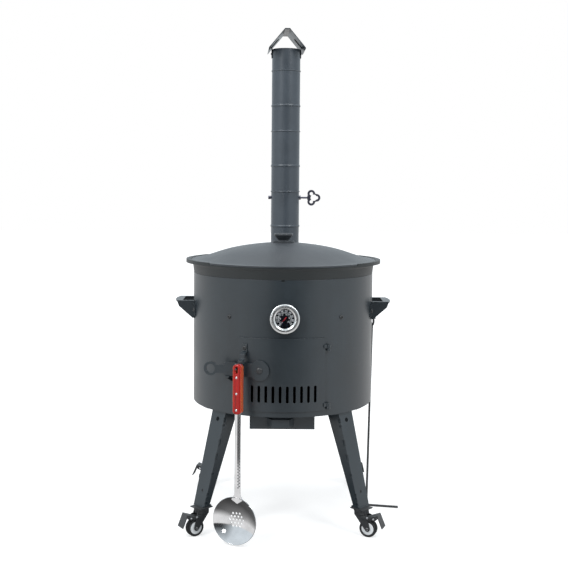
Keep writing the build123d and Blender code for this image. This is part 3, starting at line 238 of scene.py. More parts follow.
@dataclass(frozen=True)
class Finish:
    """One finish of the stove: a material and the record's slot that it stands for."""

    name: str
    slot: Slot

    def inputs(self, wiring: Wiring, place: Socket) -> dict:
        """What the shader's inputs get.

        Args:
            wiring: The material's nodes.
            place: Position on the piece, in metres.

        Returns:
            Socket name to a plain value or a socket.
        """
        raise NotImplementedError

    def make(self) -> bpy.types.Material:
        """Make the material: one shader, fed by the finish's own nodes."""
        material = bpy.data.materials.new(self.name)
        material.use_nodes = True
        wiring = Wiring(material.node_tree)
        shader = wiring.place("BsdfPrincipled")
        wiring.place("OutputMaterial", {"Surface": shader.outputs[0]})
        wiring.feed(shader, self.inputs(wiring, wiring.place("TexCoord").outputs["Object"]))
        return material

    @property
    def material(self) -> bpy.types.Material:
        """The finish's material, made when it is first asked for."""
        return bpy.data.materials.get(self.name) or self.make()


@dataclass(frozen=True)
class Coat(Finish):
    """Baked or moulded coat over metal or plastic: satin, slightly uneven, paler where rubbed."""

    colour: Colour
    rubbed: Colour
    gloss: Pair
    grain: float = 900.0
    grain_depth: float = 0.00005
    pitting: float = 0.0
    edge: float = 0.0009
    wear: float = 0.35
    specular: float = 0.5

    def inputs(self, wiring: Wiring, place: Socket) -> dict:
        """Mottled tone, orange-peel skin and rubbed edges."""
        skin = wiring.effect(EFFECTS.grain, Vector=place, Scale=self.grain)
        rub = wiring.effect(EFFECTS.rub, Vector=place, Radius=self.edge)
        patches = wiring.span(skin["Patches"], 0.36, 0.64, 0.0, 1.0)
        tone = wiring.blend(patches, shade(self.colour, 0.84), shade(self.colour, 1.16))
        normal = wiring.bump(skin["Skin"], 0.5, self.grain_depth, rub["Normal"])
        if self.pitting:
            normal = wiring.bump(skin["Pits"], self.pitting, 3 * self.grain_depth, normal)
        return {
            "Base Color": wiring.blend(wiring.math("MULTIPLY", rub["Mask"], self.wear), tone, self.rubbed),
            "Roughness": wiring.span(skin["Patches"], 0.34, 0.66, *self.gloss),
            "Normal": normal,
            "Specular IOR Level": self.specular,
        }


@dataclass(frozen=True)
class Metal(Finish):
    """Bare metal with hairlines along one direction and a few smears."""

    colour: Colour
    gloss: Pair
    along: Triple = (900.0, 900.0, 40.0)
    line_depth: float = 0.00001
    edge: float = 0.0005
    spun: bool = False

    def inputs(self, wiring: Wiring, place: Socket) -> dict:
        """Hairlines in height and gloss, smears in tone."""
        lines = wiring.effect(EFFECTS.scratches, Vector=place, Along=self.along)
        rub = wiring.effect(EFFECTS.rub, Vector=place, Radius=self.edge)
        smears = wiring.span(lines["Smears"], 0.35, 0.7, 0.0, 1.0)
        shares = wiring.math("MULTIPLY", lines["Lines"], 0.6), wiring.math("MULTIPLY", smears, 0.4)
        inputs = {
            "Base Color": wiring.blend(smears, self.colour, shade(self.colour, 0.86)),
            "Roughness": wiring.span(wiring.math("ADD", *shares), 0.25, 0.75, *self.gloss),
            "Normal": wiring.bump(lines["Lines"], 0.4, self.line_depth, rub["Normal"]),
            "Metallic": 1.0,
        }
        if self.spun:
            tangent = wiring.place("Tangent", direction_type="RADIAL", axis="Y").outputs[0]
            inputs |= {"Anisotropic": 0.75, "Tangent": tangent}
        return inputs


@dataclass(frozen=True)
class Lacquer(Finish):
    """Stained wood under clear lacquer, its cut sides left paler."""

    stain: Colour = (0.44, 0.006, 0.003)
    dark: Colour = (0.20, 0.003, 0.0015)
    bare: Colour = (0.78, 0.17, 0.045)

    def inputs(self, wiring: Wiring, place: Socket) -> dict:
        """Long grain in the stain, and the paler side faces."""
        grain = wiring.noise(wiring.stretch(place, (260.0, 260.0, 14.0)), 1.0, 5.0, warp=0.6)
        fibres = wiring.span(grain, 0.38, 0.68, 0.0, 1.0)
        lean = wiring.part(wiring.place("TexCoord").outputs["Normal"], "X")
        side = wiring.span(wiring.math("ABSOLUTE", lean), 0.62, 0.86, 0.0, 1.0)
        face, cut = wiring.blend(fibres, self.stain, self.dark), wiring.blend(fibres, self.bare, self.stain)
        return {
            "Base Color": wiring.blend(side, face, cut),
            "Roughness": wiring.span(fibres, 0.0, 1.0, 0.24, 0.38),
            "Normal": wiring.bump(fibres, 0.25, 0.0001),
            "Specular IOR Level": 0.3,
            "Coat Weight": 0.25,
            "Coat Roughness": 0.12,
        }


@dataclass(frozen=True)
class Pane(Finish):
    """Clear gauge glass with a trace of dust."""

    def inputs(self, wiring: Wiring, place: Socket) -> dict:
        """Transmission with slightly uneven gloss."""
        dust = wiring.noise(place, 420.0, 3.0)
        return {
            "Roughness": wiring.span(dust, 0.4, 0.75, 0.0, 0.05),
            "Base Color": wiring.blend(dust, (0.98, 0.99, 0.98), (0.93, 0.95, 0.95)),
            "Transmission Weight": 1.0,
            "IOR": 1.2,
        }


PAINT = Coat(
    "stove_paint", Slot.PAINT, (0.0165, 0.024, 0.030), (0.06, 0.068, 0.074), (0.30, 0.40), specular=0.7
)
PIPE_PAINT = Coat("pipe_paint", Slot.PAINT, (0.056, 0.068, 0.082), (0.10, 0.11, 0.12), (0.28, 0.38))
IRON = Coat(
    "cast_pot_iron", Slot.IRON, (0.033, 0.038, 0.044), (0.08, 0.085, 0.09), (0.36, 0.48),
    grain=520.0, grain_depth=0.00009, pitting=0.25, edge=0.0014, wear=0.25,
)
# Darker copy of the pot's iron for the bowl: painted shade on its neck under the lid's rim.
SHADED_BOWL_IRON = replace(
    IRON, name="shaded_bowl_iron", colour=(0.013, 0.016, 0.017), rubbed=(0.06, 0.065, 0.07), gloss=(0.42, 0.54)
)
BLACKENED = Coat(
    "blackened_fitting", Slot.DARK, (0.030, 0.031, 0.033), (0.16, 0.16, 0.165), (0.34, 0.48),
    grain=1400.0, grain_depth=0.00003, edge=0.0006, wear=0.4,
)
ROD_STEEL = Coat(
    "poker_steel", Slot.DARK, (0.05, 0.05, 0.052), (0.2, 0.2, 0.2), (0.36, 0.5),
    grain=1800.0, grain_depth=0.00003, edge=0.0004, wear=0.2,
)
TYRE = Coat(
    "tyre_rubber", Slot.RUBBER, (0.022, 0.022, 0.023), (0.05, 0.05, 0.05), (0.55, 0.7),
    grain=1600.0, edge=0.0004, wear=0.2,
)
WHEEL_CORE = Coat(
    "wheel_core", Slot.RUBBER, (0.74, 0.75, 0.76), (0.8, 0.8, 0.8), (0.30, 0.42),
    grain=1500.0, grain_depth=0.00002, edge=0.0004, wear=0.1,
)
DIAL_BLACK = Coat(
    "dial_black", Slot.DIAL, (0.004, 0.006, 0.012), (0.02, 0.02, 0.02), (0.45, 0.55),
    grain=2600.0, grain_depth=0.00001, edge=0.0002, wear=0.0, specular=0.1,
)
DIAL_PRINT = Coat(
    "dial_print", Slot.DIAL, (0.93, 0.93, 0.97), (0.8, 0.8, 0.8), (0.4, 0.5),
    grain=2600.0, grain_depth=0.00001, edge=0.00005, wear=0.0,
)
NEEDLE_RED = Coat(
    "needle_red", Slot.POINTER, (0.55, 0.03, 0.04), (0.6, 0.1, 0.1), (0.25, 0.35),
    grain=2600.0, grain_depth=0.00001, edge=0.0001, wear=0.1,
)
ZINC = Metal("zinc_plate", Slot.ZINC, (0.60, 0.60, 0.62), (0.22, 0.36))
SLATE_ZINC = Metal("slate_zinc", Slot.ZINC, (0.13, 0.13, 0.165), (0.34, 0.48), edge=0.0008)
MIRROR = Metal("mirror_steel", Slot.POLISHED, (0.72, 0.72, 0.73), (0.05, 0.11), line_depth=0.000004)
SPUN = Metal(
    "spun_bezel", Slot.BRUSHED, (0.66, 0.67, 0.67), (0.20, 0.30), along=(120.0, 900.0, 120.0), spun=True
)
WOOD = Lacquer("red_lacquer", Slot.WOOD)
PANE = Pane("gauge_glass", Slot.GLASS)


# Meshes


def around(azimuth: float) -> tuple[Vector, Vector]:
    """Directions outwards and along a round wall, at degrees from the front, growing towards plus X."""
    turn = math.radians(azimuth)
    return Vector((math.sin(turn), -math.cos(turn), 0.0)), Vector((math.cos(turn), math.sin(turn), 0.0))


def wall_point(azimuth: float, reach: float, height: float, shift: float = 0.0) -> Vector:
    """Point at a round upright wall, in metres.

    Args:
        azimuth: Degrees from the front, growing towards plus X.
        reach: Distance from the drum's axis, in millimetres.
        height: Height over the floor, in millimetres.
        shift: Distance sideways along the wall, in millimetres.

    Returns:
        The point.
    """
    out, along = around(azimuth)
    return (out * reach + along * shift + UP * height) * MM


def wall_frame(azimuth: float, reach: float, height: float) -> Matrix:
    """Frame at a wall point, its x running round, its y up and its z outwards."""
    out, along = around(azimuth)
    return frame_of(along, out, wall_point(azimuth, reach, height))


def frame_of(across: Vector, out: Vector, origin: Vector) -> Matrix:
    """Frame whose z is out and whose x is across, at an origin in metres."""
    out = out.normalized()
    across = (across - out * across.dot(out)).normalized()
    axes = zip(across, out.cross(across), out, origin)
    return Matrix([*axes, (0.0, 0.0, 0.0, 1.0)])


def moved(frame: Matrix, x: float, y: float, z: float = 0.0) -> Matrix:
    """Frame moved along its own axes, in millimetres."""
    return frame @ Matrix.Translation(Vector((x, y, z)) * MM)


def laid(frame: Matrix, outline: Outline, height: float) -> list[Vector]:
    """Outline's points on a frame at a height, all in millimetres."""
    return [frame @ (Vector((x, y, height)) * MM) for x, y in outline]


def turns(steps: int) -> list[float]:
    """Angles of equal steps round a circle, in radians."""
    return [2 * math.pi * step / steps for step in range(steps)]


def shrink(outline: Outline, inset: float) -> Outline:
    """Outline moved inwards by an inset, for corners that run anticlockwise."""
    moves = []
    for number, (x, y) in enumerate(outline):
        along = Vector(outline[(number + 1) % len(outline)]) - Vector(outline[number - 1])
        inward = Vector((-along.y, along.x)).normalized() * inset
        moves.append((x + inward.x, y + inward.y))
    return moves


def rounded_bar(width: float, top: float, bottom: float, corner: float, steps: int = 8) -> Outline:
    """Anticlockwise outline of an upright bar with round corners, in millimetres."""
    side = width / 2 - corner
    outline = []
    for x, y, start in (
        (side, bottom + corner, -90), (side, top - corner, 0),
        (-side, top - corner, 90), (-side, bottom + corner, 180),
    ):
        for step in range(steps + 1):
            turn = math.radians(start + 90 * step / steps)
            outline.append((x + corner * math.cos(turn), y + corner * math.sin(turn)))
    return outline


class Draft:
    """Points and faces of one piece while it is being made, in metres."""

    def __init__(self) -> None:
        """Start empty."""
        self.points: list[Vector] = []
        self.faces: list[tuple[int, ...]] = []

    def ring(self, points: Iterable[Vector]) -> list[int]:
        """Add points and give their numbers."""
        start = len(self.points)
        self.points.extend(points)
        return list(range(start, len(self.points)))

    def skin(self, rings: Sequence[Sequence[Vector]], looped: bool = False) -> None:
        """Join rings of points into a skin.

        Args:
            rings: Closed rings of equal length. One that has a single point is a tip.
            looped: Whether the last ring joins the first. Otherwise both ends are filled.
        """
        numbered = [self.ring(points) for points in rings]
        pairs = list(zip(numbered, numbered[1:]))
        if looped:
            pairs.append((numbered[-1], numbered[0]))
        for first, second in pairs:
            count = max(len(first), len(second))
            for step in range(count):
                after = (step + 1) % count
                corners = [first[step % len(first)], first[after % len(first)]]
                corners += [second[after % len(second)], second[step % len(second)]]
                self.faces.append(tuple(dict.fromkeys(corners)))
        if not looped:
            ends = (numbered[0][::-1], numbered[-1])
            self.faces.extend(tuple(ring) for ring in ends if len(ring) > 2)

    def spin(self, profile: Sequence[tuple], *frames: Matrix, steps: int, looped: bool = False) -> None:
        """Turn a profile about the z axis of each frame.

        Args:
            profile: Radius and height of each point in millimetres, and its sides where it isn't round.
            frames: Where the axes are.
            steps: Points round.
            looped: Whether the profile is closed.
        """
        for frame in frames:
            rings = []
            for radius, height, *sides in profile:
                ring = []
                for turn in turns(steps) if radius else [0.0]:
                    reach = radius
                    if sides:
                        half = math.pi / sides[0]
                        reach = radius * math.cos(half) / math.cos((turn % (2 * half)) - half)
                    ring.append((reach * math.cos(turn), reach * math.sin(turn)))
                rings.append(laid(frame, ring, height))
            self.skin(rings, looped=looped)

    def tube(self, path: Sequence[Vector], radius: float, steps: int = 8, looped: bool = False) -> None:
        """Sweep a round section along points.

        Args:
            path: Points of the centre line, in metres.
            radius: Radius in millimetres.
            steps: Points round.
            looped: Whether the path is closed.
        """
        count = len(path)
        across = UP
        rings = []
        for number, point in enumerate(path):
            before = path[number - 1] if number or looped else point
            after = path[(number + 1) % count] if number < count - 1 or looped else point
            along = (after - before).normalized()
            across = across - along * across.dot(along)
            across = (along.orthogonal() if across.length < 1e-4 else across).normalized()
            side = along.cross(across)
            ways = (side * math.cos(turn) + across * math.sin(turn) for turn in turns(steps))
            rings.append([point + way * radius * MM for way in ways])
        self.skin(rings, looped=looped)

    def slab(self, frame: Matrix, outline: Outline, low: float, high: float, edge: float = 0.0) -> None:
        """Thicken an outline between two heights, its edges rounded.

        Args:
            frame: Where the outline lies.
            outline: Its corners in order, in millimetres.
            low: Lower height in millimetres.
            high: Upper height in millimetres.
            edge: Radius of the rounding in millimetres, or 0.
        """
        angles = [math.radians(angle) for angle in (90, 60, 30, 0)] if edge else [0.0]
        levels = [(edge * (1 - math.cos(angle)), low + edge * (1 - math.sin(angle))) for angle in angles]
        levels += [(inset, high + low - height) for inset, height in reversed(levels)]
        self.skin([laid(frame, shrink(outline, inset), height) for inset, height in levels])

    def take(self, mesh: bpy.types.Mesh, frame: Matrix) -> None:
        """Copy another mesh in, moved by a frame."""
        start = len(self.points)
        self.points.extend(frame @ vertex.co for vertex in mesh.vertices)
        self.faces.extend(tuple(start + number for number in face.vertices) for face in mesh.polygons)

    def finish(
        self, name: str, finish: Finish, body: str = "root",
        replaces: Sequence[str] = (), sharp: float = 38.0,
    ) -> None:
        """Turn the draft into a piece of the stove.

        Args:
            name: The piece's name.
            finish: What it is dressed in.
            body: The CAD body that it rides on.
            replaces: CAD nodes that it stands for.
            sharp: Angle in degrees past which an edge isn't smoothed.
        """
        mesh = bpy.data.meshes.new(name)
        mesh.from_pydata([tuple(point) for point in self.points], [], self.faces)
        mesh.validate()
        mesh.polygons.foreach_set("use_smooth", [True] * len(mesh.polygons))
        mesh.set_sharp_from_angle(angle=math.radians(sharp))
        mesh.materials.append(finish.material)
        piece = bpy.data.objects.new(name, mesh)
        bpy.context.scene.collection.objects.link(piece)
        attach(piece, body)
        if replaces:
            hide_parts(*replaces)
        LOG.info("%s rides on %s", name, body)


def dress(finish: Finish, *names: str) -> None:
    """Put a finish on CAD nodes whose shape stays."""
    for name in names:
        for slot in bpy.data.objects[name].material_slots:
            slot.material = finish.material
        LOG.info("%s dressed in %s", name, finish.name)


# The stove's own pieces


@dataclass
class Bolts:
    """Button-headed bolts with nuts, in a group that stands for one CAD node."""

    name: str
    frames: list[Matrix]
    wall: float
    nut_height: float = 0.0
    body: str = "root"
    head_radius: float = 5.5
    head_height: float = 3.6
    socket: float = 2.3
    shank_radius: float = 3.0
    nut_radius: float = 5.6
    nut_chamfer: Pair = (0.2, 0.5)

    def build(self) -> None:
        """Head with its socket, shank and nut."""
        radius, height, shank, nut = self.head_radius, self.head_height, self.shank_radius, self.nut_radius
        low, high = -self.wall, self.nut_height - self.wall
        draft = Draft()
        head = [
            (0, 0.45 * height), (0.96 * self.socket, 0.45 * height, 6), (self.socket, 0.97 * height, 6),
            (0.52 * radius, height), (0.72 * radius, 0.9 * height), (0.88 * radius, 0.66 * height),
            (0.97 * radius, 0.36 * height), (radius, 0.1 * height), (0.97 * radius, 0.0),
            (shank, 0.0), (shank, low), (0, low),
        ]
        draft.spin(head, *self.frames, steps=36)
        if self.nut_height:
            inset, drop = self.nut_chamfer
            levels = ((high, inset), (high - drop, 0.0), (low + drop, 0.0), (low, inset))
            sides = [(nut - narrower, level, 6) for level, narrower in levels]
            draft.spin([(shank, high), *sides, (shank, low)], *self.frames, steps=36, looped=True)
        draft.finish(self.name, BLACKENED, self.body, [self.name])


@dataclass
class Drum:
    """The drum, its floor, brackets, outer seam and side handles."""

    radius: float = 237.5
    sheet: float = 2.5
    bottom: float = 306.0
    top: float = 644.0
    bracket_azimuths: tuple[float, ...] = (-142.5, -34.1, 37.6, 142.5)
    bracket_bolt_height: float = 548.6
    handle_bolt_height: float = 547.5
    handle_flange: Pair = (52.0, 72.0)
    bracket_wall: float = 5.8
    handle_wall: float = 5.3
    seam_azimuth: float = 158.0
    seam_steps: int = 170
    seam_radius: float = 1.6
    # Swing in degrees and pitch in radians a step.
    seam_ripple: Pair = (0.12, 2.1)
    seam_lift: float = 0.25
    seam_end: float = 1.0
    weld_azimuths: tuple[float, ...] = (-56.0, -34.0, 34.0, 56.0, -146.0, -124.0, 124.0, 146.0)
    weld_radius: float = 1.5
    weld_inset: float = 2.4
    weld_drop: float = 0.2
    # Degrees from a weld's middle to its end, and points between them.
    weld_half: tuple[float, int] = (3.0, 6)

    def build(self) -> None:
        """Dress the sheet, set the bolts and run the welds."""
        dress(PAINT, "drum_shell", "drum_floor", "pot_brackets", "handle_left", "handle_right")
        height = self.bracket_bolt_height
        heads = [wall_frame(azimuth, self.radius, height) for azimuth in self.bracket_azimuths]
        Bolts("bracket_bolts", heads, self.bracket_wall).build()
        near, far = (math.asin(across / self.radius) for across in self.handle_flange)
        middle = 90 - math.degrees(near + far) / 2
        azimuths = [side * azimuth for side in Side for azimuth in (middle, 180 - middle)]
        reach, height = self.radius + self.sheet, self.handle_bolt_height
        heads = [wall_frame(azimuth, reach, height) for azimuth in azimuths]
        Bolts("handle_bolts", heads, self.handle_wall).build()
        self.run_seam()
        self.run_floor_welds()

    def run_seam(self) -> None:
        """The welded joint down the back of the drum, a low rippled bead."""
        draft = Draft()
        path = []
        swing, pitch = self.seam_ripple
        low, high = self.bottom + self.seam_end, self.top - self.seam_end
        for step in range(self.seam_steps + 1):
            height = low + (high - low) * step / self.seam_steps
            azimuth = self.seam_azimuth + swing * math.sin(step * pitch)
            path.append(wall_point(azimuth, self.radius + self.seam_lift, height))
        draft.tube(path, self.seam_radius)
        draft.finish("drum_seam", PAINT)

    def run_floor_welds(self) -> None:
        """Short beads where the floor plate meets the drum's lower edge."""
        draft = Draft()
        half, steps = self.weld_half
        reach, height = self.radius - self.weld_inset, self.bottom - self.weld_drop
        for azimuth in self.weld_azimuths:
            spots = (azimuth + half * step / steps for step in range(-steps, steps + 1))
            draft.tube([wall_point(spot, reach, height) for spot in spots], self.weld_radius)
        draft.finish("floor_welds", PAINT)


@dataclass
class Door:
    """The door, its hinges, latch and hook."""

    # Azimuth, reach and height of the latch's pivot and of the hook's bolt.
    pivot: Triple = (-13.45, 242.0, 421.6)
    hook_bolt: Triple = (-22.6, 243.0, 476.0)
    hook_sheet: float = 2.5

    def build(self) -> None:
        """Dress the plates, then set the domed rivet that the lever turns on and the hook's bolt."""
        dress(PAINT, "door_panel", "door_knuckles", "hinge_lugs", "latch_lever", "latch_catch")
        dress(PAINT, "skimmer_hook")
        rivet = [
            (0, -1.6), (7.6, -1.6), (7.6, -0.3), (4.0, -0.3), (4.0, 3.3), (8.0, 3.3), (8.0, 3.9), (7.7, 4.6),
            (6.8, 5.4), (5.2, 6.2), (3.0, 6.7), (1.2, 6.8), (0, 6.8),
        ]
        draft = Draft()
        draft.spin(rivet, wall_frame(*self.pivot), steps=48)
        draft.finish("latch_pivot_rivet", BLACKENED, "door", ["latch_pivot"])
        Bolts("hook_bolt", [wall_frame(*self.hook_bolt)], self.hook_sheet, body="door").build()


@dataclass
class Thermometer:
    """The gauge on the drum's front."""

    # Azimuth, reach and height.
    place: Triple = (1.1, 237.8, 550.8)
    scale_start: float = 231.0
    scale_sweep: float = 270.0
    print_level: float = 7.0
    print_height: float = 0.14
    # Tick marks: how many steps, every how many a long one, and radii and half widths in millimetres.
    tick_steps: int = 54
    tick_long: int = 6
    tick_outer: float = 16.6
    long_tick: Pair = (13.8, 0.42)
    short_tick: Pair = (15.0, 0.26)
    # Radius and half width of each printed arc.
    arcs: tuple[Pair, ...] = ((16.8, 0.24), (13.4, 0.2))
    arc_steps: int = 72
    arc_lift: float = 0.04
    # Numbers of each scale from cold to hot, their radius and their letter size.
    scales: tuple[tuple[range, float, float], ...] = (
        (range(100, 551, 50), 19.8, 4.7), (range(50, 301, 50), 10.8, 3.0)
    )
    # Half thickness in millimetres, and how much the strokes are fattened as a share of the size.
    letter_half: float = 0.05
    letter_weight: float = 0.03
    screw_spots: tuple[Triple, ...] = ((-1.6, 32.6, 13.0), (1.6, -29.6, 13.0))
    needle_level: Pair = (7.6, 8.2)

    @cached_property
    def frame(self) -> Matrix:
        """Where the gauge sits, its z outwards."""
        return wall_frame(*self.place)

    def angle(self, share: float) -> float:
        """Angle of a share of the scale, in radians."""
        return math.radians(self.scale_start - self.scale_sweep * share)

    def spot(self, radius: float, share: float, level: float) -> Matrix:
        """Upright frame on the dial at a radius, a share of the scale and a level."""
        turn = self.angle(share)
        return moved(self.frame, radius * math.cos(turn), radius * math.sin(turn), level)

    def build(self) -> None:
        """Case, dial with its marks, needle, and the glass and stem of the CAD."""
        self.build_case()
        self.build_dial()
        self.build_needle()
        dress(PANE, "thermometer_glass")
        dress(ZINC, "thermometer_probe", "thermometer_nut")

    def build_case(self) -> None:
        """Case with a ridged bezel, sloping outwards and inwards from its ridge."""
        draft = Draft()
        bezel = [
            (1.3, 0.0), (33.0, 0.0), (33.6, 0.6), (33.6, 10.8), (36.0, 11.0), (36.4, 11.5), (36.2, 12.2),
            (35.3, 12.9), (33.4, 13.5), (31.0, 13.85), (28.9, 13.98), (27.5, 13.9), (26.7, 13.5),
            (25.8, 12.7), (24.2, 11.5), (23.5, 11.02), (31.5, 11.02), (31.6, 10.9), (31.6, 2.0), (1.3, 2.0),
        ]
        draft.spin(bezel, self.frame, steps=96, looped=True)
        draft.finish("thermometer_bezel", SPUN, replaces=["thermometer_case"], sharp=30)
        screws = Draft()
        spots = [moved(self.frame, *spot) for spot in self.screw_spots]
        screws.spin([(1.7, 0.0), (1.7, 0.7), (1.2, 1.0), (0, 1.0)], *spots, steps=16)
        screws.finish("bezel_screws", ZINC)

    def build_dial(self) -> None:
        """Black disc with its printed scales."""
        disc = Draft()
        disc.spin([(1.4, 6.0), (31.6, 6.0), (31.6, 7.0), (1.4, 7.0)], self.frame, steps=72, looped=True)
        disc.finish("dial_disc", DIAL_BLACK, replaces=["thermometer_dial"])
        marks = Draft()
        outer, level = self.tick_outer, self.print_level
        for step in range(self.tick_steps + 1):
            turned = self.frame @ Matrix.Rotation(self.angle(step / self.tick_steps), 4, "Z")
            inner, half = self.short_tick if step % self.tick_long else self.long_tick
            tick = [(inner, -half), (outer, -half), (outer, half), (inner, half)]
            marks.slab(turned, tick, level, level + self.print_height)
        for radius, half in self.arcs:
            shares = (step / self.arc_steps for step in range(self.arc_steps + 1))
            arc = [self.spot(radius, share, level + self.arc_lift).translation for share in shares]
            marks.tube(arc, half, steps=6)
        for numbers, radius, size in self.scales:
            self.write(marks, numbers, radius, size)
        marks.finish("dial_marks", DIAL_PRINT)

    def write(self, draft: Draft, numbers: Sequence[int], radius: float, size: float) -> None:
        """Set a ring of numbers on the dial.

        Args:
            draft: Where their mesh goes.
            numbers: What they say, from cold to hot.
            radius: How far out they stand, in millimetres.
            size: Their letter size in millimetres.
        """
        for place, number in enumerate(numbers):
            share = place / (len(numbers) - 1)
            curve = bpy.data.curves.new(f"mark_{number}", "FONT")
            curve.body = str(number)
            curve.size = size * MM
            curve.align_x, curve.align_y = "CENTER", "CENTER"
            curve.extrude = self.letter_half * MM
            curve.offset = self.letter_weight * curve.size
            curve.resolution_u = 2
            text = bpy.data.objects.new(curve.name, curve)
            bpy.context.scene.collection.objects.link(text)
            bpy.context.view_layer.update()
            mesh = bpy.data.meshes.new_from_object(text.evaluated_get(bpy.context.evaluated_depsgraph_get()))
            upright = Matrix.Rotation(self.angle(share) - math.pi / 2, 4, "Z")
            draft.take(mesh, self.spot(radius, share, self.print_level + self.letter_half) @ upright)
            bpy.data.objects.remove(text)
            bpy.data.curves.remove(curve)
            bpy.data.meshes.remove(mesh)

    def build_needle(self) -> None:
        """Tapered needle on its hub and spindle."""
        draft = Draft()
        lower = [(-6.5, -0.55), (-5.2, -0.95), (0.0, -1.0), (5.0, -0.75), (9.0, -0.22), (14.0, -0.12)]
        needle = lower + [(x, -y) for x, y in reversed(lower)]
        draft.slab(self.frame @ Matrix.Rotation(self.angle(0.0), 4, "Z"), needle, *self.needle_level)
        hub = [(0, 0.1), (1.2, 0.1), (1.2, 7.4), (1.9, 7.4), (1.9, 8.4), (1.4, 8.8), (0, 8.9)]
        draft.spin(hub, self.frame, steps=28)
        draft.finish("gauge_needle", NEEDLE_RED, "pointer", ["thermometer_pointer"])


@dataclass
class Skimmer:
    """The skimmer on the door's hook: a pierced bowl on a creased shaft, with a wooden grip."""

    hook_azimuth: float = -22.6
    top_reach: float = 279.2
    top_height: float = 441.6
    foot_reach: float = 303.0
    foot_shift: float = 10.25
    foot_height: float = 4.2
    grip_length: float = 121.0
    grip_width: float = 21.0
    grip_thickness: float = 20.0
    grip_corner: float = 8.4
    grip_edge: float = 3.0
    tang_half: float = 1.0
    rivet_drops: tuple[float, ...] = (32.0, 71.0, 110.5)
    slot_drop: float = 14.0
    slot_width: float = 6.0
    slot_half: float = 8.0
    slot_edge: Pair = (1.2, 0.4)
    bowl_width: float = 115.0
    bowl_height: float = 115.5
    bowl_shift: float = -7.4
    bowl_depth: float = 14.0
    rim_inset: float = 0.6
    rim_radius: float = 1.1
    rim_lift: float = 0.5
    shaft_width: float = 15.5
    # Lower and upper height of the shaft's edges.
    shaft_edge: Pair = (0.2, 0.95)
    dimple_count: int = 46
    dimple_places: Pair = (5.2, 2.4)

    @cached_property
    def top(self) -> Vector:
        """Middle of the grip's top, in metres."""
        return wall_point(self.hook_azimuth, self.top_reach, self.top_height)

    @cached_property
    def foot(self) -> Vector:
        """Point under the shaft's line at the bowl's foot, in metres."""
        return wall_point(self.hook_azimuth, self.foot_reach, self.foot_height, self.foot_shift)

    @cached_property
    def frame(self) -> Matrix:
        """Where the skimmer hangs, its y up its shaft and its z outwards."""
        up = (self.top - self.foot).normalized()
        out = around(self.hook_azimuth)[1].cross(up).normalized()
        return frame_of(up.cross(out), out, self.top)

    @property
    def length(self) -> float:
        """From the grip's top to the bowl's foot, in millimetres."""
        return (self.top - self.foot).length / MM

    def build(self) -> None:
        """Dress the blade, then add the grip, rivets, shaft and rim."""
        dress(MIRROR, "skimmer_blade")
        self.build_grip()
        self.build_rivets()
        self.build_shaft()
        self.build_rim()

    def build_grip(self) -> None:
        """Two wooden scales, each a loop of rings: round the outside, over the face and down the slot."""
        draft = Draft()
        outline = rounded_bar(self.grip_width, 0.0, -self.grip_length, self.grip_corner)
        high, low = self.slot_half - self.slot_drop, -self.slot_half - self.slot_drop
        slot = rounded_bar(self.slot_width, high, low, self.slot_width / 2)
        for side in (1, -1):
            near, far = side * self.tang_half, side * self.grip_thickness / 2
            levels = [(outline, near)]
            for turn in map(math.radians, (0, 22, 45, 68, 90)):
                ring = shrink(outline, self.grip_edge * (1 - math.cos(turn)))
                levels.append((ring, far - side * self.grip_edge * (1 - math.sin(turn))))
            wide, fine = self.slot_edge
            levels += [(shrink(slot, -wide), far), (shrink(slot, -fine), far - side * fine)]
            levels += [(slot, far - side * wide), (slot, near)]
            draft.skin([laid(self.frame, ring, level) for ring, level in levels], looped=True)
        draft.finish("skimmer_scales", WOOD, "skimmer", ["skimmer_grip"])

    def build_rivets(self) -> None:
        """Three domed rivets through the grip."""
        draft = Draft()
        half = self.grip_thickness / 2
        dome = [(2.9, half - 0.1), (2.6, half + 0.2), (1.6, half + 0.38), (0, half + 0.42)]
        spots = [moved(self.frame, 0.0, -drop) for drop in self.rivet_drops]
        draft.spin([(r, -z) for r, z in reversed(dome)] + dome, *spots, steps=24)
        draft.finish("grip_rivets", ZINC, "skimmer", ["skimmer_rivets"])

    def build_shaft(self) -> None:
        """The crease along the shaft, front and back, with its hammered half."""
        draft = Draft()
        start = 1.0 - self.grip_length
        bowl_top = self.bowl_height - self.length
        # Place along the shaft, share of its full width, and rise of the crease.
        sections = [
            (start, 1.0, 2.6), (start - 8, 1.0, 2.9), (bowl_top + 22, 1.0, 2.9), (bowl_top + 6, 1.05, 2.6),
            (bowl_top - 4, 1.0, 1.6), (bowl_top - 13, 0.5, 0.3),
        ]
        low, high = self.shaft_edge
        for sign in (1, -1):
            rings = []
            for y, share, rise in sections:
                half, flank = self.shaft_width / 2 * share, 0.6 * rise + 0.4
                ring = [(-half, high), (-0.35 * half, flank), (0, rise), (0.35 * half, flank), (half, high)]
                ring += [(half, low), (-half, low)]
                rings.append([self.frame @ (Vector((x, y, sign * z)) * MM) for x, z in ring[::sign]])
            draft.skin(rings)
        draft.finish("skimmer_shaft", MIRROR, "skimmer", sharp=14)
        dimples = Draft()
        high, low = start - 10, bowl_top + 24
        spots = []
        for step in range(self.dimple_count):
            x = self.dimple_places[step % 2]
            y = high + (low - high) * step / (self.dimple_count - 1)
            spots.append(moved(self.frame, x, y, 2.5 - 0.2 * x))
        dimples.spin([(2.0, 0.0), (1.7, 0.4), (1.0, 0.7), (0, 0.8)], *spots, steps=12)
        dimples.finish("shaft_dimples", BLACKENED, "skimmer")

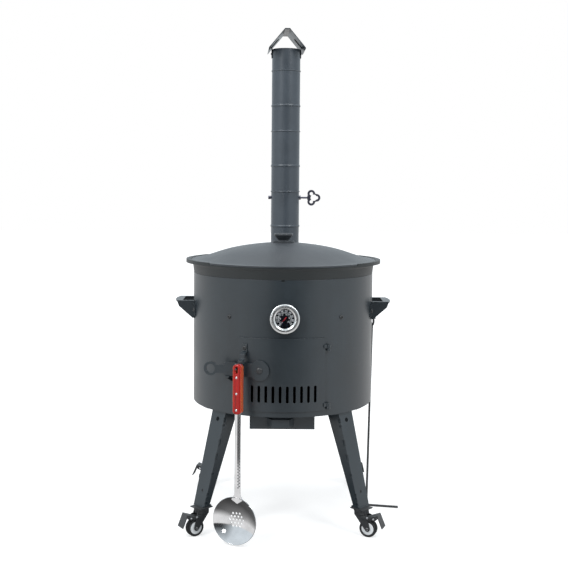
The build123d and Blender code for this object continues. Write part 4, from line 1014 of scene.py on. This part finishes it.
    def build_rim(self) -> None:
        """The rolled wire edge of the bowl."""
        draft = Draft()
        sphere = ((self.bowl_width / 2) ** 2 + self.bowl_depth ** 2) / (2 * self.bowl_depth)
        middle = self.bowl_height / 2 - self.length
        path = []
        for turn in turns(96):
            x = (self.bowl_width / 2 - self.rim_inset) * math.cos(turn)
            y = (self.bowl_height / 2 - self.rim_inset) * math.sin(turn)
            z = sphere - self.bowl_depth - math.sqrt(sphere ** 2 - x * x - y * y)
            path.append(moved(self.frame, x + self.bowl_shift, middle + y, z + self.rim_lift).translation)
        draft.tube(path, self.rim_radius, steps=10, looped=True)
        draft.finish("bowl_rim", MIRROR, "skimmer")


@dataclass
class Pot:
    """The cast cauldron, its lid and the knob."""

    def build(self) -> None:
        """Dress the castings."""
        dress(IRON, "lid_dome", "lid_knob")
        # The bowl's darker iron is painted shade under the lid's rim.
        dress(SHADED_BOWL_IRON, "kazan_bowl")


@dataclass
class Chimney:
    """Flue outlet, pipes, damper and rain cap."""

    middle: Triple = (4.0, 297.0, 0.0)
    radius: float = 41.5
    ends: tuple[float, ...] = (640.0, 750.0, 927.0, 1103.0, 1270.0)
    cap_top: float = 1322.2
    cap_ridge: float = 14.0
    cap_slope: float = 50.0
    cap_yaw: float = 2.6
    strap_sheet: float = 2.0
    strap_rivet: float = 1257.0
    rivet_across: float = 33.0
    seam_width: float = 7.0
    seam_gap: float = 3.0
    seam_corner: float = 1.2
    seam_shift: float = 1.2
    seam_rise: float = 1.1
    seam_edge: float = 0.5
    seam_sink: float = 0.2

    def build(self) -> None:
        """Dress the pipes, then add seams and rivets."""
        dress(PIPE_PAINT, "chimney_lower", "chimney_damper_pipe", "chimney_middle", "chimney_upper")
        dress(PAINT, "flue_outlet", "cap_straps", "rain_cap")
        dress(SLATE_ZINC, "damper_rod", "damper_key")
        dress(BLACKENED, "damper_disc")
        self.run_seams()
        self.roll_sockets()
        self.set_rivets()

    def run_seams(self) -> None:
        """The folded seam down the back of each pipe."""
        draft = Draft()
        behind = (Vector(self.middle) + Vector((0, self.radius - self.seam_sink, 0))) * MM
        frame = frame_of(Vector((-1, 0, 0)), Vector((0, 1, 0)), behind)
        for number, (low, high) in enumerate(zip(self.ends, self.ends[1:])):
            shift = 0.0 if number % 2 else self.seam_shift
            high, low = high - self.seam_gap, low + self.seam_gap
            outline = rounded_bar(self.seam_width, high, low, self.seam_corner, steps=3)
            draft.slab(frame, [(x + shift, y) for x, y in outline], 0.0, self.seam_rise, self.seam_edge)
        draft.finish("pipe_seams", PIPE_PAINT, "chimney")

    def roll_sockets(self) -> None:
        """The rolled edge where each pipe slips over the one below."""
        draft = Draft()
        rolled = [(-0.2, -0.2), (1.3, -0.2), (1.6, 0.4), (1.5, 3.6), (0.7, 5.6), (-0.2, 6.4)]
        frames = [Matrix.Translation((Vector(self.middle) + UP * end) * MM) for end in self.ends[1:-1]]
        draft.spin([(self.radius + out, height) for out, height in rolled], *frames, steps=72, looped=True)
        draft.finish("pipe_sockets", PIPE_PAINT, "chimney")

    def set_rivets(self) -> None:
        """Rivets through the cap and through the straps."""
        draft = Draft()
        head = [(0, -0.4), (3.4, -0.4), (3.4, 0.5), (2.9, 1.3), (1.6, 1.9), (0, 2.0)]
        along, across = around(self.cap_yaw)
        slope = math.radians(self.cap_slope)
        height = self.cap_top - (self.rivet_across - self.cap_ridge / 2) * math.tan(slope)
        middle = Vector(self.middle)
        for side in Side:
            out = across * side
            for facing, reach, level in (
                (out * math.sin(slope) + UP * math.cos(slope), self.rivet_across, height),
                (out, self.radius + self.strap_sheet, self.strap_rivet),
            ):
                draft.spin(head, frame_of(along, facing, (middle + out * reach + UP * level) * MM), steps=20)
        draft.finish("cap_rivets", BLACKENED, "chimney")


@dataclass
class AshDrawer:
    """The ash drawer on its rails."""

    pull_bottom: float = 277.0
    pull_height: float = 20.0
    face: float = -201.8
    weld_spots: tuple[float, ...] = (-41.2, 33.2)
    weld_shares: tuple[float, ...] = (0.28, 0.72)

    def build(self) -> None:
        """Dress the sheet and mark the pull's spot welds."""
        dress(PAINT, "ash_tray", "ash_pull", "ash_rails")
        frames = []
        for x in self.weld_spots:
            for share in self.weld_shares:
                spot = Vector((x, self.face, self.pull_bottom + share * self.pull_height)) * MM
                frames.append(frame_of(Vector((1, 0, 0)), Vector((0, -1, 0)), spot))
        draft = Draft()
        weld = [(0, -0.3), (2.3, -0.3), (2.3, 0.15), (1.9, 0.4), (1.2, 0.25), (0, 0.2)]
        draft.spin(weld, *frames, steps=18)
        draft.finish("pull_spot_welds", PAINT, "ash_drawer")


@dataclass
class Legs:
    """Four folded legs, their bolts, the welds at their feet and the caps in their lower holes."""

    # Azimuth of each leg, and the side of it that counts as its front.
    azimuths: tuple[tuple[float, int], ...] = ((-45.0, 1), (45.0, -1), (-135.0, -1), (135.0, 1))
    sheet: float = 3.0
    top: float = 306.0
    top_reach: float = 226.5
    top_front: float = 27.3
    top_back: float = -23.0
    plate_top: float = 72.0
    foot_reach: float = 287.0
    foot_front: float = 15.0
    foot_back: float = -25.0
    bolt_inset: float = 24.0
    bolt_spread: float = 13.0
    weld_inset: float = 1.5
    weld_radius: float = 1.5
    weld_steps: int = 14
    # Swing in millimetres and pitch in radians a step.
    weld_ripple: Pair = (0.25, 1.9)
    # How far outwards and upwards a bead lies from its corner.
    weld_lift: Pair = (0.4, 0.5)
    hole_radius: float = 3.5
    hole_drop: float = 203.0

    @property
    def top_middle(self) -> float:
        """Middle of a leg's upper end, across from its azimuth."""
        return (self.top_front + self.top_back) / 2

    def build(self) -> None:
        """Dress the legs, set their bolts, weld their feet and plug their lower holes."""
        dress(PAINT, *(f"leg_{corner}" for corner in CORNERS))
        frames = []
        welds = Draft()
        start, end = self.foot_front - self.weld_inset, self.foot_back + self.weld_inset
        (swing, pitch), (outward, upward) = self.weld_ripple, self.weld_lift
        for azimuth, side in self.azimuths:
            for half in Side:
                across = side * (self.top_middle + half * self.bolt_spread)
                spot = wall_point(azimuth, self.top_reach - self.bolt_inset, self.top - self.sheet, across)
                frames.append(frame_of(around(azimuth)[0], -UP, spot))
            path = []
            for step in range(self.weld_steps + 1):
                reach = self.foot_reach + outward + swing * math.sin(step * pitch)
                across = side * (start + (end - start) * step / self.weld_steps)
                path.append(wall_point(azimuth, reach, self.plate_top + upward, across))
            welds.tube(path, self.weld_radius)
        Bolts("leg_bolts", frames, wall=10.5, nut_height=4.5).build()
        welds.finish("foot_welds", PAINT)
        self.plug_holes()

    def plug_holes(self) -> None:
        """A dark sunken cap in the lower hole of each leg."""
        run, drop = self.foot_reach - self.top_reach, self.top - self.plate_top
        share = self.hole_drop / math.hypot(run, drop)
        middle = self.top_middle + (self.foot_front - self.top_front) * share / 2
        frames = []
        for azimuth, side in self.azimuths:
            out, along = around(azimuth)
            spot = wall_point(azimuth, self.top_reach + run * share, self.top - drop * share, side * middle)
            frames.append(frame_of(along, out * drop + UP * run, spot))
        radius = self.hole_radius
        caps = Draft()
        cup = [(0, -2.6), (radius, -2.6), (radius, -0.5), (2.7, -0.8), (2.4, -1.9), (0, -2.0)]
        caps.spin(cup, *frames, steps=24)
        caps.finish("leg_hole_caps", BLACKENED)


@dataclass
class Caster:
    """One caster: swivel fork, wheel with its ring, and brake pedal."""

    corner: str
    azimuth: float
    heading: float
    reach: float = 283.0
    trail: float = 19.0
    wheel_radius: float = 22.0
    fork_outer: float = 12.0
    screw_sink: float = 0.3
    cheek: Pair = (12.4, 13.7)
    cheek_edge: float = 0.4
    cheek_spots: tuple[Pair, ...] = ((19.0, 49.6), (35.0, 49.0))

    @cached_property
    def frame(self) -> Matrix:
        """Upright frame under the swivel, its x along the trail, its y up and its z across."""
        along = around(self.heading)[0]
        return frame_of(along, along.cross(UP), wall_point(self.azimuth, self.reach, 0.0))

    def build(self) -> None:
        """Dress the fork and pedal, then build the wheel, screws and cheeks."""
        dress(BLACKENED, f"caster_fork_{self.corner}", f"caster_pedal_{self.corner}")
        self.build_wheel()
        self.build_screws()
        self.build_cheeks()

    def build_wheel(self) -> None:
        """Tyre with a crowned tread, and the pale ring let into each side."""
        hub = moved(self.frame, self.trail, self.wheel_radius)
        tyre = Draft()
        right = [
            (self.wheel_radius, 0.0), (self.wheel_radius, 5.0), (21.6, 7.2), (20.7, 8.5), (19.2, 9.0),
            (17.0, 9.0), (15.8, 8.6), (15.5, 7.9), (4.5, 7.9), (4.3, 8.6), (3.8, 8.9), (3.1, 8.9),
        ]
        tyre.spin([(r, -z) for r, z in reversed(right[1:])] + right, hub, steps=72, looped=True)
        tyre.finish(f"tyre_{self.corner}", TYRE, f"wheel_{self.corner}", [f"caster_wheel_{self.corner}"])
        core = Draft()
        ring = [(4.6, 7.8), (15.4, 7.8), (15.4, 8.5), (14.6, 8.8), (5.4, 8.8), (4.6, 8.5)]
        for sign in (1, -1):
            core.spin([(r, sign * z) for r, z in ring], hub, steps=72, looped=True)
        core.finish(f"wheel_ring_{self.corner}", WHEEL_CORE, f"wheel_{self.corner}")

    def build_screws(self) -> None:
        """Bright axle screw heads and the pedal's rivets."""
        axle, rivets = Draft(), Draft()
        head = [(0, 0.2), (4.2, 0.2), (4.2, 1.3), (3.6, 1.9), (2.0, 2.1), (1.7, 1.2, 6), (0, 1.2)]
        dome = [(0, 0.0), (2.7, 0.0), (2.7, 0.5), (2.1, 1.0), (0, 1.2)]
        for sign in (1, -1):
            for draft, profile, across, spots in (
                (axle, head, self.fork_outer - self.screw_sink, [(self.trail, self.wheel_radius)]),
                (rivets, dome, self.cheek[1], self.cheek_spots),
            ):
                turned = [(r, sign * (across + z), *sides) for r, z, *sides in profile]
                draft.spin(turned, *(moved(self.frame, *spot) for spot in spots), steps=24)
        axle.finish(f"axle_screws_{self.corner}", ZINC, f"swivel_{self.corner}")
        rivets.finish(f"pedal_rivets_{self.corner}", ZINC, f"pedal_{self.corner}")

    def build_cheeks(self) -> None:
        """Side plates of the pedal, outside the fork."""
        draft = Draft()
        outline = [
            (3.6, 48.6), (8.0, 46.6), (20.0, 44.8), (34.0, 44.6), (41.5, 46.8), (46.5, 52.0), (45.6, 57.4),
            (36.0, 54.0), (25.0, 49.9), (22.0, 53.4), (14.0, 55.2), (6.0, 55.2), (3.6, 53.2),
        ]
        for sign in (1, -1):
            low, high = sorted(sign * level for level in self.cheek)
            draft.slab(self.frame, outline, low, high, self.cheek_edge)
        draft.finish(f"pedal_cheeks_{self.corner}", BLACKENED, f"pedal_{self.corner}")


@dataclass
class Casters:
    """All four casters and the plates they turn under."""

    # Azimuth and heading of each, in the order of CORNERS.
    headings: tuple[Pair, ...] = (
        (-45.0, -58.0), (45.0, 68.3), (-135.0, -100.0), (135.0, 146.0)
    )

    def build(self) -> None:
        """Dress the plates and build each caster."""
        dress(BLACKENED, "caster_plates")
        for corner, (azimuth, heading) in zip(CORNERS, self.headings):
            Caster(corner, azimuth, heading).build()


@dataclass
class Poker:
    """The poker: one bent rod with an eye, hanging on its peg."""

    ring_middle: Triple = (245.0, 62.0, 505.0)
    ring_radius: float = 12.0
    heel: Triple = (232.0, 22.0, 3.3)
    toe: Triple = (316.5, 6.0, 3.3)
    radius: float = 3.0
    bend: float = 7.0
    bend_steps: int = 9
    straight: float = 40.0

    def build(self) -> None:
        """Sweep the rod and its eye."""
        dress(ROD_STEEL, "poker_peg")
        x, y, z = self.ring_middle
        reach = math.hypot(x, y)
        frame = wall_frame(90 + math.degrees(math.asin(y / reach)), reach, z)
        rod = Draft()
        eye = self.ring_radius
        circle = [(eye * math.cos(turn), eye * math.sin(turn)) for turn in turns(48)]
        rod.tube(laid(frame, circle, 0.0), self.radius, steps=16, looped=True)
        top, heel, toe = Vector((x, y, z - eye)), Vector(self.heel), Vector(self.toe)
        down, out = (heel - top).normalized(), (toe - heel).normalized()
        start, end = heel - down * self.bend, heel + out * self.bend
        path = [top, top + down * self.straight, start]
        for share in (step / self.bend_steps for step in range(1, self.bend_steps)):
            path.append(start.lerp(heel, share).lerp(heel.lerp(end, share), share))
        path += [end, toe]
        rod.tube([point * MM for point in path], self.radius, steps=16)
        rod.finish("poker_rod", ROD_STEEL, "poker", ["poker"])


# Studio


@dataclass
class Studio:
    """Floor, backdrop light, lamps and camera."""

    eye: Triple = (-0.0009, -2.5958, 0.8859)
    pitch: float = 3.398
    roll: float = 0.451
    yaw: float = 0.05
    lens: float = 61.79
    shift: float = -0.08
    floor_half: float = 14.0
    floor_colour: Colour = (0.6, 0.6, 0.6)
    floor_grain: float = 3.0
    floor_mottle: float = 0.97
    floor_glow: Pair = (0.62, 0.95)
    floor_fade: Pair = (0.7, 2.6)
    mirror_glow: float = 0.95
    front_glow: float = 0.06
    front_edge: float = -0.975
    front_end: float = -0.75
    # Ends of a painted pool of light and of a painted shadow round the stove, both on the floor as
    # reflections see it.
    painted_pool_near: Pair = (-0.37, -0.44)
    painted_pool_far: Pair = (-1.6, -1.2)
    painted_shadow_fade: Pair = (0.37, 0.5)
    painted_shadow_dark: float = 0.15
    fill: float = 0.55
    front_dark: float = 0.06
    sky_rise: Pair = (0.05, 0.5)
    sky_glow: float = 0.9
    cool: Colour = (0.86, 0.945, 1.0)
    # Name, place, size in metres and power of each lamp.
    lamps: tuple[tuple[str, Triple, Pair, float], ...] = (
        ("box_left", (-2.0, -2.1, 2.8), (0.9, 1.2), 59.0),
        ("box_right", (1.9, -2.1, 2.8), (1.1, 1.2), 48.0),
        ("box_over", (0.0, 0.2, 3.0), (2.2, 1.6), 36.0),
        ("box_low", (-1.06, -2.9, 0.7), (0.26, 0.26), 2.0),
    )
    lamp_aim: Triple = (0.0, 0.0, 0.6)

    def build(self) -> None:
        """Set up everything round the stove."""
        self.lay_floor()
        self.light_world()
        self.hang_lamps()
        self.stand_camera()
        bpy.context.scene.view_settings.view_transform = "Standard"

    def lay_floor(self) -> None:
        """A pale floor that fades into the backdrop and keeps the stove's shadow; in reflections it glows
        with a painted shadow round the stove and a painted pool of light.
        """
        mesh = bpy.data.meshes.new("floor")
        half = self.floor_half
        corners = [(-half, -half, 0), (half, -half, 0), (half, half, 0), (-half, half, 0)]
        mesh.from_pydata(corners, [], [(0, 1, 2, 3)])
        floor = bpy.data.objects.new("floor", mesh)
        bpy.context.scene.collection.objects.link(floor)
        material = bpy.data.materials.new("studio_floor")
        material.use_nodes = True
        wiring = Wiring(material.node_tree)
        place = wiring.place("TexCoord").outputs["Object"]
        grain, duller = wiring.noise(place, self.floor_grain), shade(self.floor_colour, self.floor_mottle)
        tone = wiring.blend(grain, self.floor_colour, duller)
        matt = wiring.place("BsdfDiffuse", {"Color": tone}).outputs[0]
        distance = wiring.vector("LENGTH", place)["Value"]
        glow = self.glow(wiring, wiring.span(distance, *self.floor_fade, *self.floor_glow))
        lit = wiring.place("AddShader", {0: matt, 1: glow}).outputs[0]
        # In reflections the floor is only a glow: darker towards the front, with a painted shadow round the
        # stove and a painted pool of light in front of it.
        side, depth = wiring.part(wiring.vector("NORMALIZE", place)[0], "Y"), wiring.part(place, "Y")
        near, far = (wiring.span(depth, *ends, 0.0, 1.0) for ends in (self.painted_pool_near, self.painted_pool_far))
        painted_pool = wiring.math("MINIMUM", near, far)
        open_floor = wiring.span(side, self.front_edge, self.front_end, self.front_glow, self.mirror_glow)
        painted_shadow = wiring.span(distance, *self.painted_shadow_fade, self.painted_shadow_dark, 1.0)
        floor_with_painted_shadow = wiring.math("MULTIPLY", open_floor, painted_shadow)
        shine = self.glow(wiring, wiring.math("MAXIMUM", floor_with_painted_shadow, painted_pool))
        rays = wiring.place("LightPath").outputs
        direct = wiring.math("MAXIMUM", rays["Is Camera Ray"], rays["Is Transmission Ray"])
        shown = wiring.place("MixShader", {0: direct, 1: matt, 2: lit}).outputs[0]
        mixed = wiring.place("MixShader", {0: rays["Is Glossy Ray"], 1: shown, 2: shine}).outputs[0]
        wiring.place("OutputMaterial", {"Surface": mixed})
        mesh.materials.append(material)

    @staticmethod
    def glow(wiring: Wiring, strength: Socket) -> Socket:
        """White light of a given strength."""
        return wiring.place("Emission", {"Color": (1.0, 1.0, 1.0, 1.0), "Strength": strength}).outputs[0]

    def light_world(self) -> None:
        """White round the stove, with a darker room in front of it for reflections."""
        world = bpy.data.worlds.new("studio")
        world.use_nodes = True
        bpy.context.scene.world = world
        wiring = Wiring(world.node_tree)
        way = wiring.place("TexCoord").outputs["Generated"]
        behind = wiring.span(wiring.part(way, "Y"), self.front_edge, self.front_end, self.front_dark, 1.0)
        above = wiring.span(wiring.part(way, "Z"), *self.sky_rise, 0.0, self.sky_glow)
        rays = wiring.place("LightPath").outputs
        camera = rays["Is Camera Ray"]
        strength = wiring.math("MAXIMUM", wiring.math("MAXIMUM", behind, above), camera)
        tone = wiring.blend(camera, self.cool, (1.0, 1.0, 1.0))
        pale = wiring.place("Background", {"Color": tone, "Strength": strength}).outputs[0]
        soft = wiring.place("Background", {"Color": (*self.cool, 1.0), "Strength": self.fill}).outputs[0]
        direct = wiring.math("MAXIMUM", camera, rays["Is Transmission Ray"])
        seen = wiring.math("MAXIMUM", direct, rays["Is Glossy Ray"])
        mixed = wiring.place("MixShader", {0: seen, 1: soft, 2: pale}).outputs[0]
        wiring.place("OutputWorld", {"Surface": mixed})

    def hang_lamps(self) -> None:
        """Two tall soft boxes at the front corners, one overhead and a small one beside the camera."""
        for name, place, size, power in self.lamps:
            lamp = bpy.data.lights.new(name, "AREA")
            lamp.shape = "RECTANGLE"
            lamp.size, lamp.size_y = size
            lamp.energy = power
            holder = bpy.data.objects.new(name, lamp)
            bpy.context.scene.collection.objects.link(holder)
            holder.location = place
            aim = Vector(self.lamp_aim) - Vector(place)
            holder.rotation_euler = aim.to_track_quat("-Z", "Y").to_euler()

    def stand_camera(self) -> None:
        """The camera of the photograph's view."""
        data = bpy.data.cameras.new("camera")
        data.lens = self.lens
        data.shift_y = self.shift
        camera = bpy.data.objects.new("camera", data)
        bpy.context.scene.collection.objects.link(camera)
        turned = Matrix.Translation(self.eye)
        for angle, axis in ((-self.yaw, "Z"), (90 - self.pitch, "X"), (self.roll, "Z")):
            turned = turned @ Matrix.Rotation(math.radians(angle), 4, axis)
        camera.matrix_world = turned
        bpy.context.scene.camera = camera


def main() -> None:
    """Build the stove's looks round its frame."""
    logging.basicConfig(level=logging.INFO, format="%(message)s")
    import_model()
    for maker in (Studio, Drum, Door, Thermometer, Skimmer, Pot, Chimney, AshDrawer, Legs, Casters, Poker):
        maker().build()


if __name__ == "__main__":
    main()
